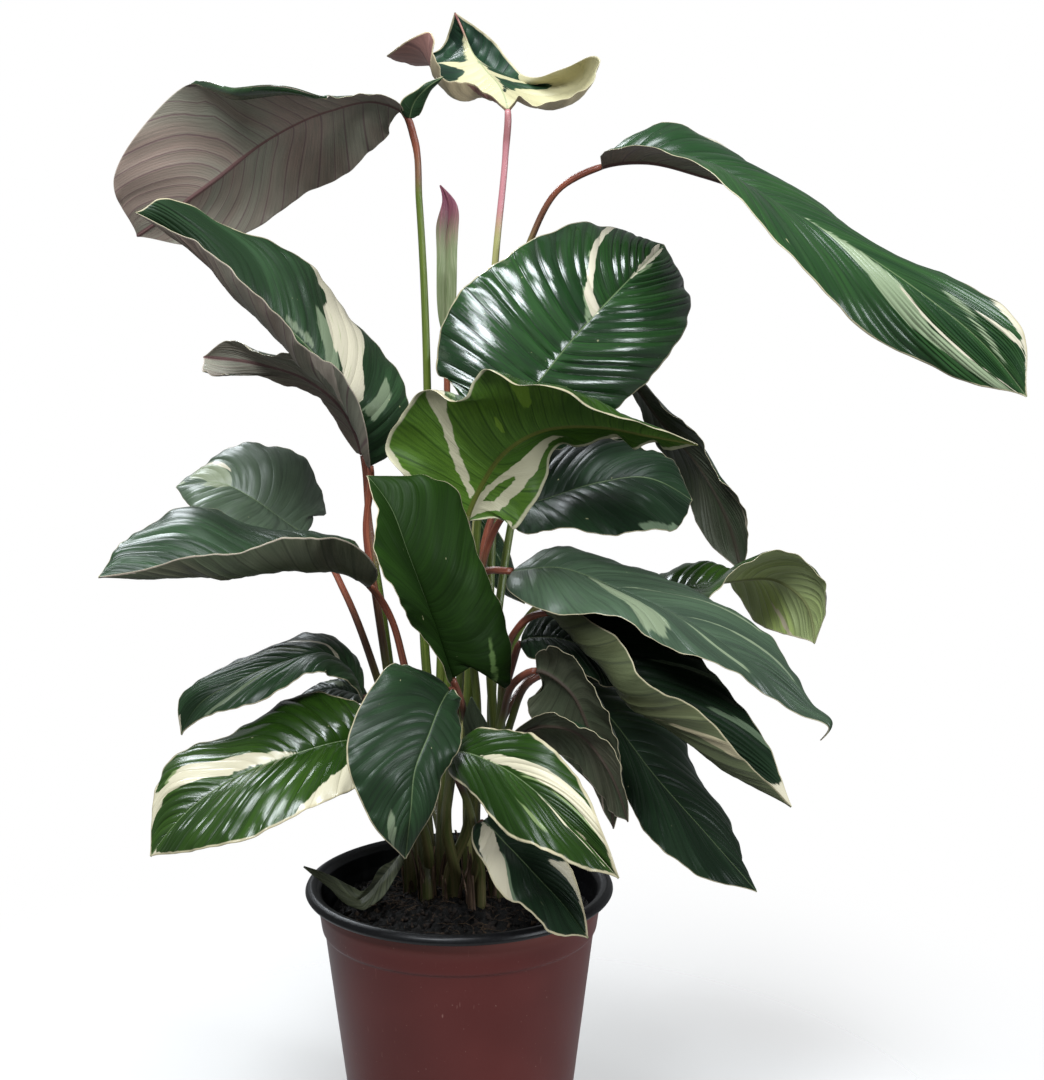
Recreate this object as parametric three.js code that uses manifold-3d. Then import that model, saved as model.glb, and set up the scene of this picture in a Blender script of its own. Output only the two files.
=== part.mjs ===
// A potted princess dalya calathea: a nursery pot, its potting mix, clumps of leafy stems and
// their patterned blades. Millimetres, +Z up, origin at the middle of the pot's base, with the
// side that faces the photograph towards -Y.
import * as THREE from 'three';
import Module from 'manifold-3d';

const wasm = await Module();
wasm.setup();

// Pot
const POT_HEIGHT = 150;
const LIP_RADIUS = 80;
const LIP_HEIGHT = 5.5;
const COLLAR_RADIUS = 73;
const COLLAR_DEPTH = 23;
const BODY_RADIUS = 70;
const BASE_RADIUS = 55;
const WALL = 1.4;
const BASE_LIFT = 3;
const POT_SEGMENTS = 36;

// Potting mix
const MIX_LEVEL = 132;
const MIX_MOUND = 8;
const MIX_RINGS = 6;
const MIX_SEGMENTS = POT_SEGMENTS;
const MIX_BOTTOM = 5;
const HOLE_BOTTOM = 118;

// Stems
const GAP = 0.3;
const CROWN_RADIUS = 5.6;
const CROWN_TOP = 146;
const CROWN_SIDES = 12;
const STEM_START = 128;
const STEM_CLEAR = 152;
const STEM_SPREAD = 1.8;
const STEM_RADIUS = 2.5;
const STEM_END_RADIUS = 1.6;
const STEM_SIDES = 6;
const STEM_STEP = 28;
const STEM_END = 1.5;

// Blades
const BLADE_ROWS = 10;
const HALF_COLUMNS = 3;
const BLADE_HALF_THICKNESS = 0.4;
const RIDGE_DEPTH = 1.2;
const BASE_HALF_WIDTH = 1.3;
const TIP_HALF_WIDTH = 0.5;
const BASE_TURN = 0.18;
const STEM_TO_BLADE = 0.4;

// Colours
const POT_COLOUR = '#6d4a46';
const MIX_COLOUR = '#1f1a17';
const STEM_COLOUR = '#6f7a38';
const BLADE_COLOUR = '#2f4a35';
const UNDERSIDE_COLOUR = '#5c5450';
const YOUNG_COLOUR = '#8c8f6a';
const WITHERED_COLOUR = '#4a4c3a';
const SHEATH_COLOUR = '#7c8060';

// Middle of each clump of stems in the mix
const CLUMPS = {
  left_back: [-26, 20],
  left: [-17, 4],
  back: [-9, 24],
  middle: [-4, 0],
  back_middle: [6, 15],
  right_back: [21, 23],
  right: [20, 3],
  front: [9, -10],
};

// Each leaf: its stem's points above the mix, the points of its midrib from base to tip, and the
// reach of its left and right halves at evenly spaced stations of the midrib, seen from above
// with the tip ahead. "cup" arches each half up (down when below zero) and "wave" is the edge's
// height in millimetres, its count of waves and where they start.
const LEAVES = [
  {
    name: 'top_left',
    clump: 'back',
    colour: UNDERSIDE_COLOUR,
    stem: [[-19, 35, 270], [-16, 29, 397], [-19, 22, 498], [-21, 19, 528]],
    rib: [
      [-26, 16, 541], [-38, 16, 546], [-63, 19, 542], [-93, 26, 529], [-123, 35, 508],
      [-166, 48, 480],
    ],
    left: [[3, -37, 2], [6, -44, 11], [-2, -38, 22], [-18, -6, 42], [-30, -7, 12]],
    right: [[13, 31, -15], [21, 32, -24], [18, 34, -22], [14, 19, -26], [2, 7, -18]],
    cup: [0.12, 0.1],
    wave: [1.5, 3, 0],
  },
  {
    name: 'left_trough',
    clump: 'left_back',
    stem: [[-37, 19, 252], [-42, 8, 297], [-46, 0, 334]],
    rib: [
      [-43, -6, 368], [-51, -13, 400], [-70, -19, 426], [-92, -29, 449], [-117, -38, 474],
      [-147, -48, 492],
    ],
    left: [[0, -31, 15], [0, -40, 5], [3, -34, 7], [-2, -19, 4]],
    right: [[24, 17, 5], [22, 31, 5], [20, 32, 12], [19, 24, 18], [5, 20, 17], [-8, -2, 18]],
    cup: [-0.2, 0.1],
    wave: [1.5, 3, 0],
  },
  {
    name: 'left_under',
    clump: 'left_back',
    colour: UNDERSIDE_COLOUR,
    stem: [[-36, 35, 243], [-42, 38, 291], [-48, 42, 333]],
    rib: [[-51, 45, 367], [-61, 54, 388], [-80, 67, 403], [-108, 83, 411], [-142, 99, 414]],
    left: [[-2, -11, 18], [-5, -17, 16], [-7, -17, 10], [-9, -1, 10]],
    right: [[-10, 18, 1], [-15, 18, -2], [-19, 7, -2], [-20, -4, -6]],
    cup: [0.1, 0.1],
    wave: [1.5, 3, 0],
  },
  {
    name: 'left_mid_back',
    clump: 'left_back',
    stem: [[-32, 32, 205], [-44, 38, 247], [-62, 48, 293], [-73, 54, 312]],
    rib: [[-84, 58, 322], [-95, 58, 330], [-113, 58, 343], [-126, 61, 349], [-153, 64, 347]],
    left: [[12, -20, -19], [6, -29, -20], [-1, -31, -18], [-3, -25, -10]],
    right: [[21, 29, 2], [19, 32, 20], [4, 30, 19], [-6, 19, 5]],
    cup: [0.1, 0.1],
    wave: [1.5, 3, 0],
  },
  {
    name: 'left_mid',
    clump: 'left',
    stem: [[-21, -3, 226], [-27, -13, 269], [-34, -22, 297]],
    rib: [
      [-43, -29, 312], [-56, -35, 321], [-79, -42, 327], [-110, -48, 327], [-140, -54, 324],
      [-168, -61, 322],
    ],
    left: [[9, -24, 17], [15, -30, 14], [15, -25, 11], [9, -14, 6]],
    right: [[13, 22, 6], [-4, 50, 6], [-15, 49, 18], [-18, 28, 12]],
    cup: [-0.3, 0.1],
    wave: [1.5, 3, 0],
  },
  {
    name: 'left_low_back',
    clump: 'left',
    stem: [[-21, 6, 180], [-30, 0, 214], [-40, -6, 239]],
    rib: [
      [-48, -10, 251], [-55, -13, 266], [-66, -16, 274], [-86, -19, 271], [-110, -26, 262],
      [-127, -29, 252], [-137, -29, 236],
    ],
    left: [[1, -24, -1], [7, -27, -4], [2, -23, -8], [0, -12, -7]],
    right: [[3, 24, 0], [0, 28, 5], [-6, 23, 2], [-13, 6, 1]],
    cup: [0.1, 0.1],
    wave: [1.5, 3, 0],
  },
  {
    name: 'left_small',
    clump: 'left',
    stem: [[-19, 13, 173], [-31, 16, 204], [-42, 19, 229]],
    rib: [[-49, 19, 240], [-60, 19, 246], [-73, 16, 247], [-84, 13, 244]],
    left: [[2, -19, 0], [2, -21, -1], [0, -15, -2]],
    right: [[0, 16, 4], [0, 17, 1], [-1, 14, -1]],
    cup: [0.1, 0.1],
    wave: [0.5, 2, 0],
  },
  {
    name: 'left_front',
    clump: 'left',
    stem: [[-16, -3, 167], [-23, -16, 203], [-27, -32, 225]],
    rib: [
      [-32, -42, 235], [-53, -54, 240], [-74, -64, 237], [-101, -74, 229], [-126, -83, 213],
      [-142, -90, 194],
    ],
    left: [[12, -25, -12], [15, -36, -14], [10, -40, -16], [4, -23, -12]],
    right: [[4, 20, 15], [-4, 37, 18], [-12, 33, 9], [-17, 19, 11]],
    cup: [0.1, 0.1],
    wave: [1.5, 3, 0],
  },
  {
    name: 'hanging_front',
    clump: 'middle',
    stem: [[-6, -10, 180], [-3, -22, 221], [0, -42, 250]],
    rib: [
      [-2, -61, 267], [-6, -74, 263], [-11, -86, 252], [-17, -96, 238], [-19, -99, 220],
      [-22, -96, 195],
    ],
    left: [[10, 13, 1], [15, 10, -2], [13, 7, -1], [7, 3, -1]],
    right: [[-21, 8, 19], [-33, -7, 10], [-30, -11, 4], [-22, -11, 1], [-11, -10, 0]],
    cup: [0.1, 0.1],
    wave: [1.5, 3, 0],
  },
  {
    name: 'front_tall',
    clump: 'middle',
    stem: [[4, -6, 179], [6, -24, 222], [4, -45, 253]],
    rib: [[-1, -57, 272], [-11, -66, 306], [-21, -69, 335], [-29, -63, 355], [-41, -51, 369]],
    left: [[-6, -23, 8], [-12, -32, 7], [-12, -27, 9], [-7, -12, 5]],
    right: [[32, 22, -28], [37, 19, -14], [31, 18, -3], [24, 15, 11]],
    cup: [0.1, 0.1],
    wave: [1.5, 3, 0],
  },
  {
    name: 'broad_backlit',
    clump: 'back',
    stem: [[-2, 15, 221], [2, 0, 278], [4, -9, 316]],
    rib: [
      [5, -12, 341], [12, -15, 358], [24, -21, 376], [41, -27, 387], [70, -33, 390],
      [94, -36, 386], [117, -36, 382],
    ],
    left: [[15, 14, -27], [15, 37, -13], [17, 32, -10], [11, 18, -9]],
    right: [[-44, -20, 12], [-50, -22, 21], [-44, -31, 21], [-46, -36, 27], [-25, -24, 16]],
    cup: [0.1, 0.1],
    wave: [1.5, 3, 0],
  },
  {
    name: 'right_mid_dark',
    clump: 'back_middle',
    stem: [[7, 26, 240], [10, 32, 292], [15, 35, 321]],
    rib: [[23, 35, 336], [47, 32, 346], [73, 26, 355], [96, 22, 358], [120, 22, 346]],
    left: [[3, 25, 21], [8, 31, 21], [14, 26, 14], [11, 14, 5]],
    right: [[-3, -30, -11], [5, -42, -15], [10, -40, -21], [11, -22, -19]],
    cup: [0.1, 0.1],
    wave: [1.5, 3, 0],
  },
  {
    name: 'glossy_upper',
    clump: 'back_middle',
    stem: [[5, 22, 241], [8, 19, 305], [11, 16, 347]],
    rib: [[17, 9, 381], [35, 14, 401], [60, 31, 430], [86, 58, 455], [109, 90, 475]],
    left: [[-48, 5, 12], [-57, 6, 22], [-46, 6, 27], [-20, 18, 25]],
    right: [[27, 20, -21], [37, 17, -23], [39, 12, -19], [28, 14, -9]],
    cup: [0.1, 0.1],
    wave: [1.5, 3, 0],
  },
  {
    name: 'top_leaf',
    clump: 'back_middle',
    stem: [[1, 29, 228], [7, 46, 311], [13, 60, 394], [19, 66, 473], [24, 68, 524]],
    rib: [
      [25, 67, 545], [21, 78, 557], [13, 92, 567], [6, 104, 577], [1, 113, 588], [-4, 120, 599],
    ],
    left: [
      [-7, -11, -2], [-15, -25, -2], [-21, -38, -4], [-23, -46, 1], [-23, -41, 7], [-42, 3, -8],
      [-11, 9, -9],
    ],
    right: [
      [12, -17, -7], [32, -35, -12], [51, -42, -9], [58, -38, 0], [31, -11, -13], [22, 1, -10],
      [12, 3, -3],
    ],
    cup: [-0.3, -0.3],
    wave: [0.6, 2, 0],
  },
  {
    name: 'long_right',
    clump: 'right_back',
    stem: [[15, 56, 265], [20, 74, 371], [27, 83, 435], [37, 90, 477], [53, 86, 505]],
    rib: [
      [75, 80, 516], [97, 70, 518], [125, 58, 511], [154, 42, 500], [187, 22, 482], [234, 3, 450],
      [260, -6, 428], [280, -14, 403],
    ],
    left: [
      [5, 25, 20], [11, 37, 18], [11, 44, 8], [15, 42, 2], [19, 33, 0], [22, 17, 5], [18, -4, 5],
    ],
    right: [
      [-10, -31, -2], [-11, -41, -1], [-12, -44, -8], [-12, -37, -21], [-12, -19, -31],
      [-5, -1, -29], [1, -2, -20],
    ],
    cup: [0.1, 0.1],
    wave: [1.5, 3, 0],
  },
  {
    name: 'right_under',
    clump: 'right_back',
    colour: UNDERSIDE_COLOUR,
    stem: [[16, 58, 231], [29, 90, 336], [45, 109, 401], [68, 115, 417]],
    rib: [[92, 115, 401], [107, 112, 381], [132, 106, 351], [147, 102, 323], [155, 99, 294]],
    left: [[-2, 21, -12], [-5, 17, -18], [-8, -2, -15]],
    right: [[9, -22, 2], [11, -22, -3], [11, -10, -6]],
    cup: [0.1, 0.1],
    wave: [1.5, 3, 0],
  },
  {
    name: 'right_bright',
    clump: 'right_back',
    stem: [[21, 45, 212], [26, 58, 259], [42, 61, 283], [69, 61, 290]],
    rib: [
      [96, 58, 288], [122, 54, 294], [146, 48, 299], [166, 38, 301], [179, 28, 293],
      [184, 16, 272],
    ],
    left: [[-5, 27, 4], [-3, 32, 6], [-5, 46, -9], [-9, 26, -27], [-8, 10, -17]],
    right: [[-9, -23, -6], [-8, -38, -4], [-7, -36, 16], [1, -28, 19], [7, -22, 12]],
    cup: [0.1, 0.1],
    wave: [1.5, 3, 0],
  },
  {
    name: 'right_long_low',
    clump: 'back_middle',
    stem: [[9, 16, 242], [6, 10, 286], [8, 3, 304], [14, -6, 314]],
    rib: [
      [28, -19, 317], [51, -32, 321], [80, -42, 312], [113, -51, 298], [142, -58, 279],
      [168, -61, 255], [180, -61, 248], [176, -61, 242],
    ],
    left: [[1, 32, 6], [4, 37, 6], [11, 30, 8], [9, 16, 5]],
    right: [[-11, -30, -13], [-9, -36, -4], [-13, -34, -3], [-11, -27, 0], [-5, -15, 3]],
    cup: [0.1, 0.1],
    wave: [1.5, 3, 0],
  },
  {
    name: 'right_dark_long',
    clump: 'right',
    stem: [[20, 0, 214], [23, -10, 254], [28, -16, 284], [36, -22, 294]],
    rib: [[46, -29, 298], [70, -42, 282], [96, -58, 261], [122, -70, 241], [159, -86, 217]],
    left: [[12, 21, 20], [21, 24, 16], [22, 16, 14], [17, 2, 3]],
    right: [[3, -27, 15], [-2, -33, 15], [2, -27, 15], [6, -16, 5]],
    cup: [0.1, -0.3],
    wave: [1.5, 3, 0],
  },
  {
    name: 'right_small_dark',
    clump: 'right',
    stem: [[20, 3, 208], [23, 0, 244], [28, -3, 267]],
    rib: [[32, -6, 278], [46, -13, 282], [62, -19, 279], [82, -26, 259]],
    left: [[1, 35, 5], [9, 40, 1], [9, 22, -2]],
    right: [[-4, -9, -9], [-3, -17, -8], [0, -13, -8]],
    cup: [0.1, 0.1],
    wave: [1.5, 3, 0],
  },
  {
    name: 'right_hanging',
    clump: 'right',
    stem: [[22, -3, 199], [27, -6, 237], [37, -6, 258]],
    rib: [[52, -6, 263], [74, -13, 244], [99, -22, 213], [124, -35, 187], [149, -45, 160]],
    left: [[10, 35, 4], [17, 38, 7], [17, 34, 0], [13, 22, -9]],
    right: [[-7, -9, -15], [-6, -29, -13], [-12, -33, -12], [-4, -20, -10]],
    cup: [0.1, 0.1],
    wave: [1.5, 3, 0],
  },
  {
    name: 'front_under_wide',
    clump: 'right',
    stem: [[19, -10, 202], [23, -19, 243], [29, -29, 263]],
    rib: [[40, -38, 271], [56, -48, 263], [66, -54, 243], [73, -58, 224], [77, -58, 197]],
    left: [[-18, 18, -13], [-20, 14, -14], [-14, 11, -5], [-5, 8, -6]],
    right: [[-6, -11, 22], [4, -22, 21], [5, -24, 17], [5, -15, 9]],
    cup: [0.1, 0.1],
    wave: [1.5, 3, 0],
  },
  {
    name: 'front_under_arch',
    clump: 'right',
    stem: [[17, -6, 179], [20, -19, 210], [23, -35, 227]],
    rib: [[30, -48, 240], [43, -64, 250], [60, -80, 250], [71, -90, 239], [82, -93, 212]],
    left: [[3, 13, -13], [2, 13, -19], [-1, 12, -18], [-1, 9, -17]],
    right: [[1, -9, 8], [3, -16, 7], [5, -16, 7], [4, -10, 2]],
    cup: [0.1, 0.1],
    wave: [1.5, 3, 0],
  },
  {
    name: 'front_right',
    clump: 'front',
    stem: [[10, -29, 176], [6, -42, 204], [1, -51, 221]],
    rib: [[-1, -58, 233], [18, -86, 239], [36, -106, 233], [56, -122, 218], [76, -128, 197]],
    left: [[11, 11, 10], [16, 4, 12], [16, 4, 6], [9, -1, 2]],
    right: [[-3, -15, -11], [-4, -28, -16], [-3, -31, -12], [1, -17, -8]],
    cup: [0.1, 0.1],
    wave: [1.5, 3, 0],
  },
  {
    name: 'front_low',
    clump: 'front',
    stem: [[10, -22, 167], [10, -35, 183]],
    rib: [[13, -45, 196], [25, -61, 190], [40, -80, 180], [53, -96, 171], [63, -106, 160]],
    left: [[3, 23, 2], [13, 7, 5], [13, 1, 5], [8, -3, -1]],
    right: [[-12, -6, -3], [-14, -19, -1], [-10, -25, -3], [-3, -19, -5]],
    cup: [0.1, 0.1],
    wave: [1.5, 3, 0],
  },
  {
    name: 'rolled_spear',
    clump: 'back',
    colour: YOUNG_COLOUR,
    stem: [[-11, 32, 216], [-8, 46, 332], [-7, 54, 384]],
    rib: [[-7, 57, 429], [-7, 58, 452], [-7, 58, 478], [-6, 58, 496], [-10, 58, 506]],
    left: [[-4, -1, -1], [-4, -1, 5], [-4, -1, 4]],
    right: [[4, -1, -1], [5, -1, 5], [5, -1, 4]],
    cup: [0.1, 0.1],
    wave: [0, 1, 0],
  },
  {
    name: 'side_leaflet',
    clump: 'back',
    stem: [],
    rib: [[-22, 12, 543], [-20, 10, 548], [-14, 8, 553], [-6, 6, 557]],
    left: [[-8, -2, -1], [-4, -1, 1], [-1, 1, 2]],
    right: [[2, 4, -4], [2, 5, -3], [1, 7, -1]],
    cup: [0.1, 0.1],
    wave: [0.4, 2, 0],
  },
  {
    name: 'withered',
    clump: 'left_back',
    colour: WITHERED_COLOUR,
    stem: [],
    rib: [[-31, 13, 158], [-36, 5, 149], [-44, -1, 144], [-60, -6, 147], [-80, -8, 160]],
    left: [[-2, 17, 2], [1, 16, 0], [3, 10, 2]],
    right: [[6, -6, -2], [4, -5, -8], [0, -7, -7]],
    cup: [0.3, -0.3],
    wave: [1.5, 4, 0],
  },
  {
    name: 'front_sheath',
    clump: 'middle',
    colour: SHEATH_COLOUR,
    stem: [],
    rib: [[13, -24, 201], [13, -34, 226], [10, -44, 247], [8, -52, 261]],
    left: [[-5, 2, -4], [-6, -1, 2], [-5, -3, 3]],
    right: [[4, 4, -8], [5, 1, -3], [5, -2, -1]],
    cup: [-0.2, -0.2],
    wave: [0.5, 2, 0],
  },
  {
    name: 'back_leaf',
    clump: 'back',
    stem: [[-8, 41, 268], [-12, 51, 310], [-12, 55, 336]],
    rib: [[-11, 60, 349], [-6, 69, 351], [3, 80, 337], [18, 90, 307], [34, 99, 276]],
    left: [[3, -1, 3], [3, 1, 5], [4, 6, 2]],
    right: [[-7, 8, -8], [-8, 8, -11], [-3, 8, -14]],
    cup: [0.1, 0.1],
    wave: [1, 2, 0],
  },
  {
    name: 'back_low_left',
    clump: 'back',
    stem: [[-16, 40, 186], [-20, 50, 217]],
    rib: [[-24, 60, 230], [-31, 82, 231], [-40, 112, 217], [-48, 138, 191], [-52, 152, 159]],
    left: [[15, -7, 2], [19, -2, -4], [20, 1, -6]],
    right: [[-11, 1, 0], [-18, 8, -2], [-18, 11, -7]],
    cup: [0.1, 0.1],
    wave: [1.5, 3, 0],
  },
  {
    name: 'back_low_right',
    clump: 'right_back',
    stem: [[18, 46, 212], [31, 70, 233]],
    rib: [[45, 92, 241], [64, 112, 239], [84, 136, 222], [99, 150, 194], [109, 156, 164]],
    left: [[10, 24, 2], [15, 23, -1], [15, 20, -6]],
    right: [[-10, -20, -11], [-12, -19, -17], [-9, -14, -15]],
    cup: [0.1, 0.1],
    wave: [1.5, 3, 0],
  },
  {
    name: 'back_mid',
    clump: 'back_middle',
    stem: [[5, 30, 260], [10, 48, 310]],
    rib: [[21, 56, 341], [37, 72, 354], [59, 92, 360], [83, 112, 357], [108, 124, 347]],
    left: [[5, 12, 15], [9, 19, 15], [11, 20, 10]],
    right: [[5, -14, -15], [6, -15, -16], [7, -14, -17]],
    cup: [0.1, 0.1],
    wave: [1.5, 3, 0],
  },
];

// A smooth curve through points, by the straight distance between them
function curveThrough(points) {
  const knots = [0];
  for (let i = 1; i < points.length; i += 1) {
    knots.push(knots[i - 1] + points[i].distanceTo(points[i - 1]));
  }
  return curveAt(knots, points);
}

function curveAt(knots, points) {
  const steps = points.slice(1).map((point, i) => (
    point.clone().sub(points[i]).divideScalar(knots[i + 1] - knots[i])
  ));
  const slopes = points.map(() => new THREE.Vector3());
  const last = points.length - 1;
  for (let i = 1; i < last; i += 1) {
    const before = knots[i] - knots[i - 1];
    const after = knots[i + 1] - knots[i];
    slopes[i].copy(steps[i - 1]).multiplyScalar(after).addScaledVector(steps[i], before);
    slopes[i].divideScalar(before + after);
  }
  slopes[0].copy(steps[0]).multiplyScalar(1.5).addScaledVector(slopes[1], -0.5);
  slopes[last].copy(steps[last - 1]).multiplyScalar(1.5).addScaledVector(slopes[last - 1], -0.5);
  return { knots, points, slopes };
}

function pointOn({ knots, points, slopes }, place) {
  let i = 0;
  while (i < knots.length - 2 && place > knots[i + 1]) {
    i += 1;
  }
  const span = knots[i + 1] - knots[i];
  const s = (place - knots[i]) / span;
  return new THREE.Vector3()
    .addScaledVector(points[i], (1 + 2 * s) * (1 - s) ** 2)
    .addScaledVector(slopes[i], span * s * (1 - s) ** 2)
    .addScaledVector(points[i + 1], s * s * (3 - 2 * s))
    .addScaledVector(slopes[i + 1], span * s * s * (s - 1));
}

function vectors(rows) {
  return rows.map((row) => new THREE.Vector3(...row));
}

// How wide a blade is along its midrib, against its widest place
function fullness(u) {
  return Math.sqrt(u) * (1 - u ** 1.7) ** 1.15 / 0.482;
}

// The reach of one half of a blade over its width, as a curve along the midrib
function reachCurve(offsets) {
  const stations = offsets.map((_, i) => (i + 1) / (offsets.length + 1));
  const reaches = vectors(offsets).map((offset, i) => offset.divideScalar(fullness(stations[i])));
  return curveAt([0, ...stations, 1], [reaches[0], ...reaches, reaches.at(-1)]);
}

// The first points of a leaf's stem, side by side with the others of its clump
function stemFoot(leaf) {
  const [x, y] = CLUMPS[leaf.clump];
  const place = LEAVES.filter((other) => other.clump === leaf.clump).indexOf(leaf);
  const turn = 2.4 * place;
  const footX = x + STEM_SPREAD * Math.cos(turn);
  const footY = y + STEM_SPREAD * Math.sin(turn);
  return [[footX, footY, STEM_START], [footX, footY, STEM_CLEAR]];
}

// Stem and midrib in one curve, with the place where the blade begins
function leafLine(leaf) {
  const stem = leaf.stem.length ? [...stemFoot(leaf), ...leaf.stem] : [];
  const curve = curveThrough(vectors([...stem, ...leaf.rib]));
  return { curve, start: curve.knots[stem.length], end: curve.knots.at(-1) };
}

function closedGeometry(positions, indices) {
  const geometry = new THREE.BufferGeometry();
  geometry.setAttribute('position', new THREE.Float32BufferAttribute(positions, 3));
  geometry.setIndex(indices);
  geometry.computeVertexNormals();
  return geometry;
}

function part(name, geometry, colour, roughness) {
  const material = new THREE.MeshStandardMaterial({ color: colour, roughness, metalness: 0 });
  const mesh = new THREE.Mesh(geometry, material);
  mesh.name = name;
  return mesh;
}

function toSolid(geometry) {
  return new wasm.Manifold(new wasm.Mesh({
    numProp: 3,
    vertProperties: new Float32Array(geometry.attributes.position.array),
    triVerts: new Uint32Array(geometry.index.array),
  }));
}

function toGeometry(solid) {
  const mesh = solid.getMesh();
  return closedGeometry(Array.from(mesh.vertProperties), Array.from(mesh.triVerts));
}

// A closed round bar through points, with a radius for each
function bar(points, radii, sides) {
  const positions = [];
  const indices = [];
  let side = new THREE.Vector3(1, 0, 0);
  points.forEach((point, i) => {
    const ahead = points[Math.min(i + 1, points.length - 1)];
    const behind = points[Math.max(i - 1, 0)];
    const along = ahead.clone().sub(behind).normalize();
    side = side.clone().addScaledVector(along, -side.dot(along)).normalize();
    const other = along.clone().cross(side);
    for (let k = 0; k < sides; k += 1) {
      const angle = 2 * Math.PI * k / sides;
      const corner = point.clone()
        .addScaledVector(side, radii[i] * Math.cos(angle))
        .addScaledVector(other, radii[i] * Math.sin(angle));
      positions.push(...corner.toArray());
    }
  });
  for (let i = 0; i < points.length - 1; i += 1) {
    for (let k = 0; k < sides; k += 1) {
      const a = i * sides + k;
      const b = i * sides + (k + 1) % sides;
      indices.push(a, b, b + sides, a, b + sides, a + sides);
    }
  }
  const top = (points.length - 1) * sides;
  for (let k = 1; k < sides - 1; k += 1) {
    indices.push(0, k + 1, k);
    indices.push(top, top + k, top + k + 1);
  }
  return closedGeometry(positions, indices);
}

// Pot

function potGeometry() {
  const lipBottom = POT_HEIGHT - LIP_HEIGHT;
  const stepTop = POT_HEIGHT - COLLAR_DEPTH;
  const stepBottom = stepTop - 2.5;
  const profile = [
    [0, 0],
    [14, 0],
    [17, BASE_LIFT],
    [46, BASE_LIFT],
    [48, 0],
    [BASE_RADIUS - 1.5, 0],
    [BASE_RADIUS, 1.5],
    [BODY_RADIUS, stepBottom],
    [COLLAR_RADIUS - 1.2, stepTop + 0.8],
    [COLLAR_RADIUS, stepTop + 6],
    [COLLAR_RADIUS, lipBottom],
    [LIP_RADIUS - 1.2, lipBottom + 0.4],
    [LIP_RADIUS, lipBottom + 2.2],
    [LIP_RADIUS - 0.9, POT_HEIGHT - 1.2],
    [LIP_RADIUS - 3.2, POT_HEIGHT],
    [COLLAR_RADIUS + 0.6, POT_HEIGHT - 0.9],
    [COLLAR_RADIUS - WALL, POT_HEIGHT - 3.5],
    [COLLAR_RADIUS - WALL, stepTop + 5.6],
    [COLLAR_RADIUS - WALL - 1.2, stepTop + 1.4],
    [BODY_RADIUS - WALL, stepBottom + 0.8],
    [BASE_RADIUS - WALL, BASE_LIFT + WALL],
    [0, BASE_LIFT + WALL],
  ].map(([radius, height]) => new THREE.Vector2(radius, height));
  return new THREE.LatheGeometry(profile, POT_SEGMENTS).rotateX(Math.PI / 2);
}

// Potting mix

function mixHeight(radius, angle) {
  const mound = MIX_MOUND * Math.exp(-((radius / 42) ** 2));
  const lumps = 1.1 * Math.sin(3 * angle + radius / 9) + 0.7 * Math.sin(7 * angle - radius / 6);
  return MIX_LEVEL + mound + lumps * Math.min(1, radius / 25);
}

// Inner radius of the pot at a height, less the gap
function mixEdge(height) {
  const stepBottom = POT_HEIGHT - COLLAR_DEPTH - 2.5;
  const floor = BASE_LIFT + WALL;
  const rise = (Math.min(height, stepBottom) - floor) / (stepBottom + 0.8 - floor);
  return BASE_RADIUS - WALL + (BODY_RADIUS - BASE_RADIUS) * rise - 2 * GAP;
}

function mixSolid() {
  const positions = [0, 0, mixHeight(0, 0)];
  const indices = [];
  const widest = mixEdge(MIX_LEVEL);
  const levels = [];
  for (let ring = 1; ring <= MIX_RINGS; ring += 1) {
    levels.push((angle) => {
      const radius = widest * ring / MIX_RINGS;
      return [radius, mixHeight(radius, angle)];
    });
  }
  levels.push(() => [widest, POT_HEIGHT - COLLAR_DEPTH - 3]);
  levels.push(() => [mixEdge(MIX_BOTTOM), MIX_BOTTOM]);
  levels.forEach((level) => {
    for (let k = 0; k < MIX_SEGMENTS; k += 1) {
      const angle = 2 * Math.PI * k / MIX_SEGMENTS;
      const [radius, height] = level(angle);
      positions.push(radius * Math.cos(angle), radius * Math.sin(angle), height);
    }
  });
  const bottom = positions.length / 3;
  positions.push(0, 0, MIX_BOTTOM);
  for (let k = 0; k < MIX_SEGMENTS; k += 1) {
    const next = (k + 1) % MIX_SEGMENTS;
    indices.push(0, 1 + k, 1 + next);
    for (let i = 0; i < levels.length - 1; i += 1) {
      const inner = 1 + i * MIX_SEGMENTS;
      const outer = inner + MIX_SEGMENTS;
      indices.push(inner + k, outer + k, outer + next, inner + k, outer + next, inner + next);
    }
    const rim = bottom - MIX_SEGMENTS;
    indices.push(bottom, rim + next, rim + k);
  }
  return toSolid(closedGeometry(positions, indices));
}

function crownBar([x, y], radius, bottom, top) {
  const ends = vectors([[x, y, bottom], [x, y, top]]);
  return toSolid(bar(ends, [radius, radius], CROWN_SIDES));
}

// Plain round holes for the clumps
function mixGeometry() {
  let mix = mixSolid();
  Object.values(CLUMPS).forEach((middle) => {
    mix = mix.subtract(crownBar(middle, CROWN_RADIUS + GAP, HOLE_BOTTOM, CROWN_TOP + 20));
  });
  return toGeometry(mix);
}

// Stems

function stemSolid(leaf) {
  const { curve, start } = leafLine(leaf);
  const length = start - STEM_TO_BLADE;
  const count = Math.max(5, Math.ceil(length / STEM_STEP));
  const places = Array.from({ length: count }, (_, i) => i * (length - STEM_END) / (count - 1));
  places.push(length);
  const points = places.map((place) => pointOn(curve, place));
  const radii = places.map((place) => (
    THREE.MathUtils.lerp(STEM_RADIUS, STEM_END_RADIUS, Math.max(0, place / length - 0.3) / 0.7)
  ));
  return toSolid(bar(points, radii, STEM_SIDES));
}

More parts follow.
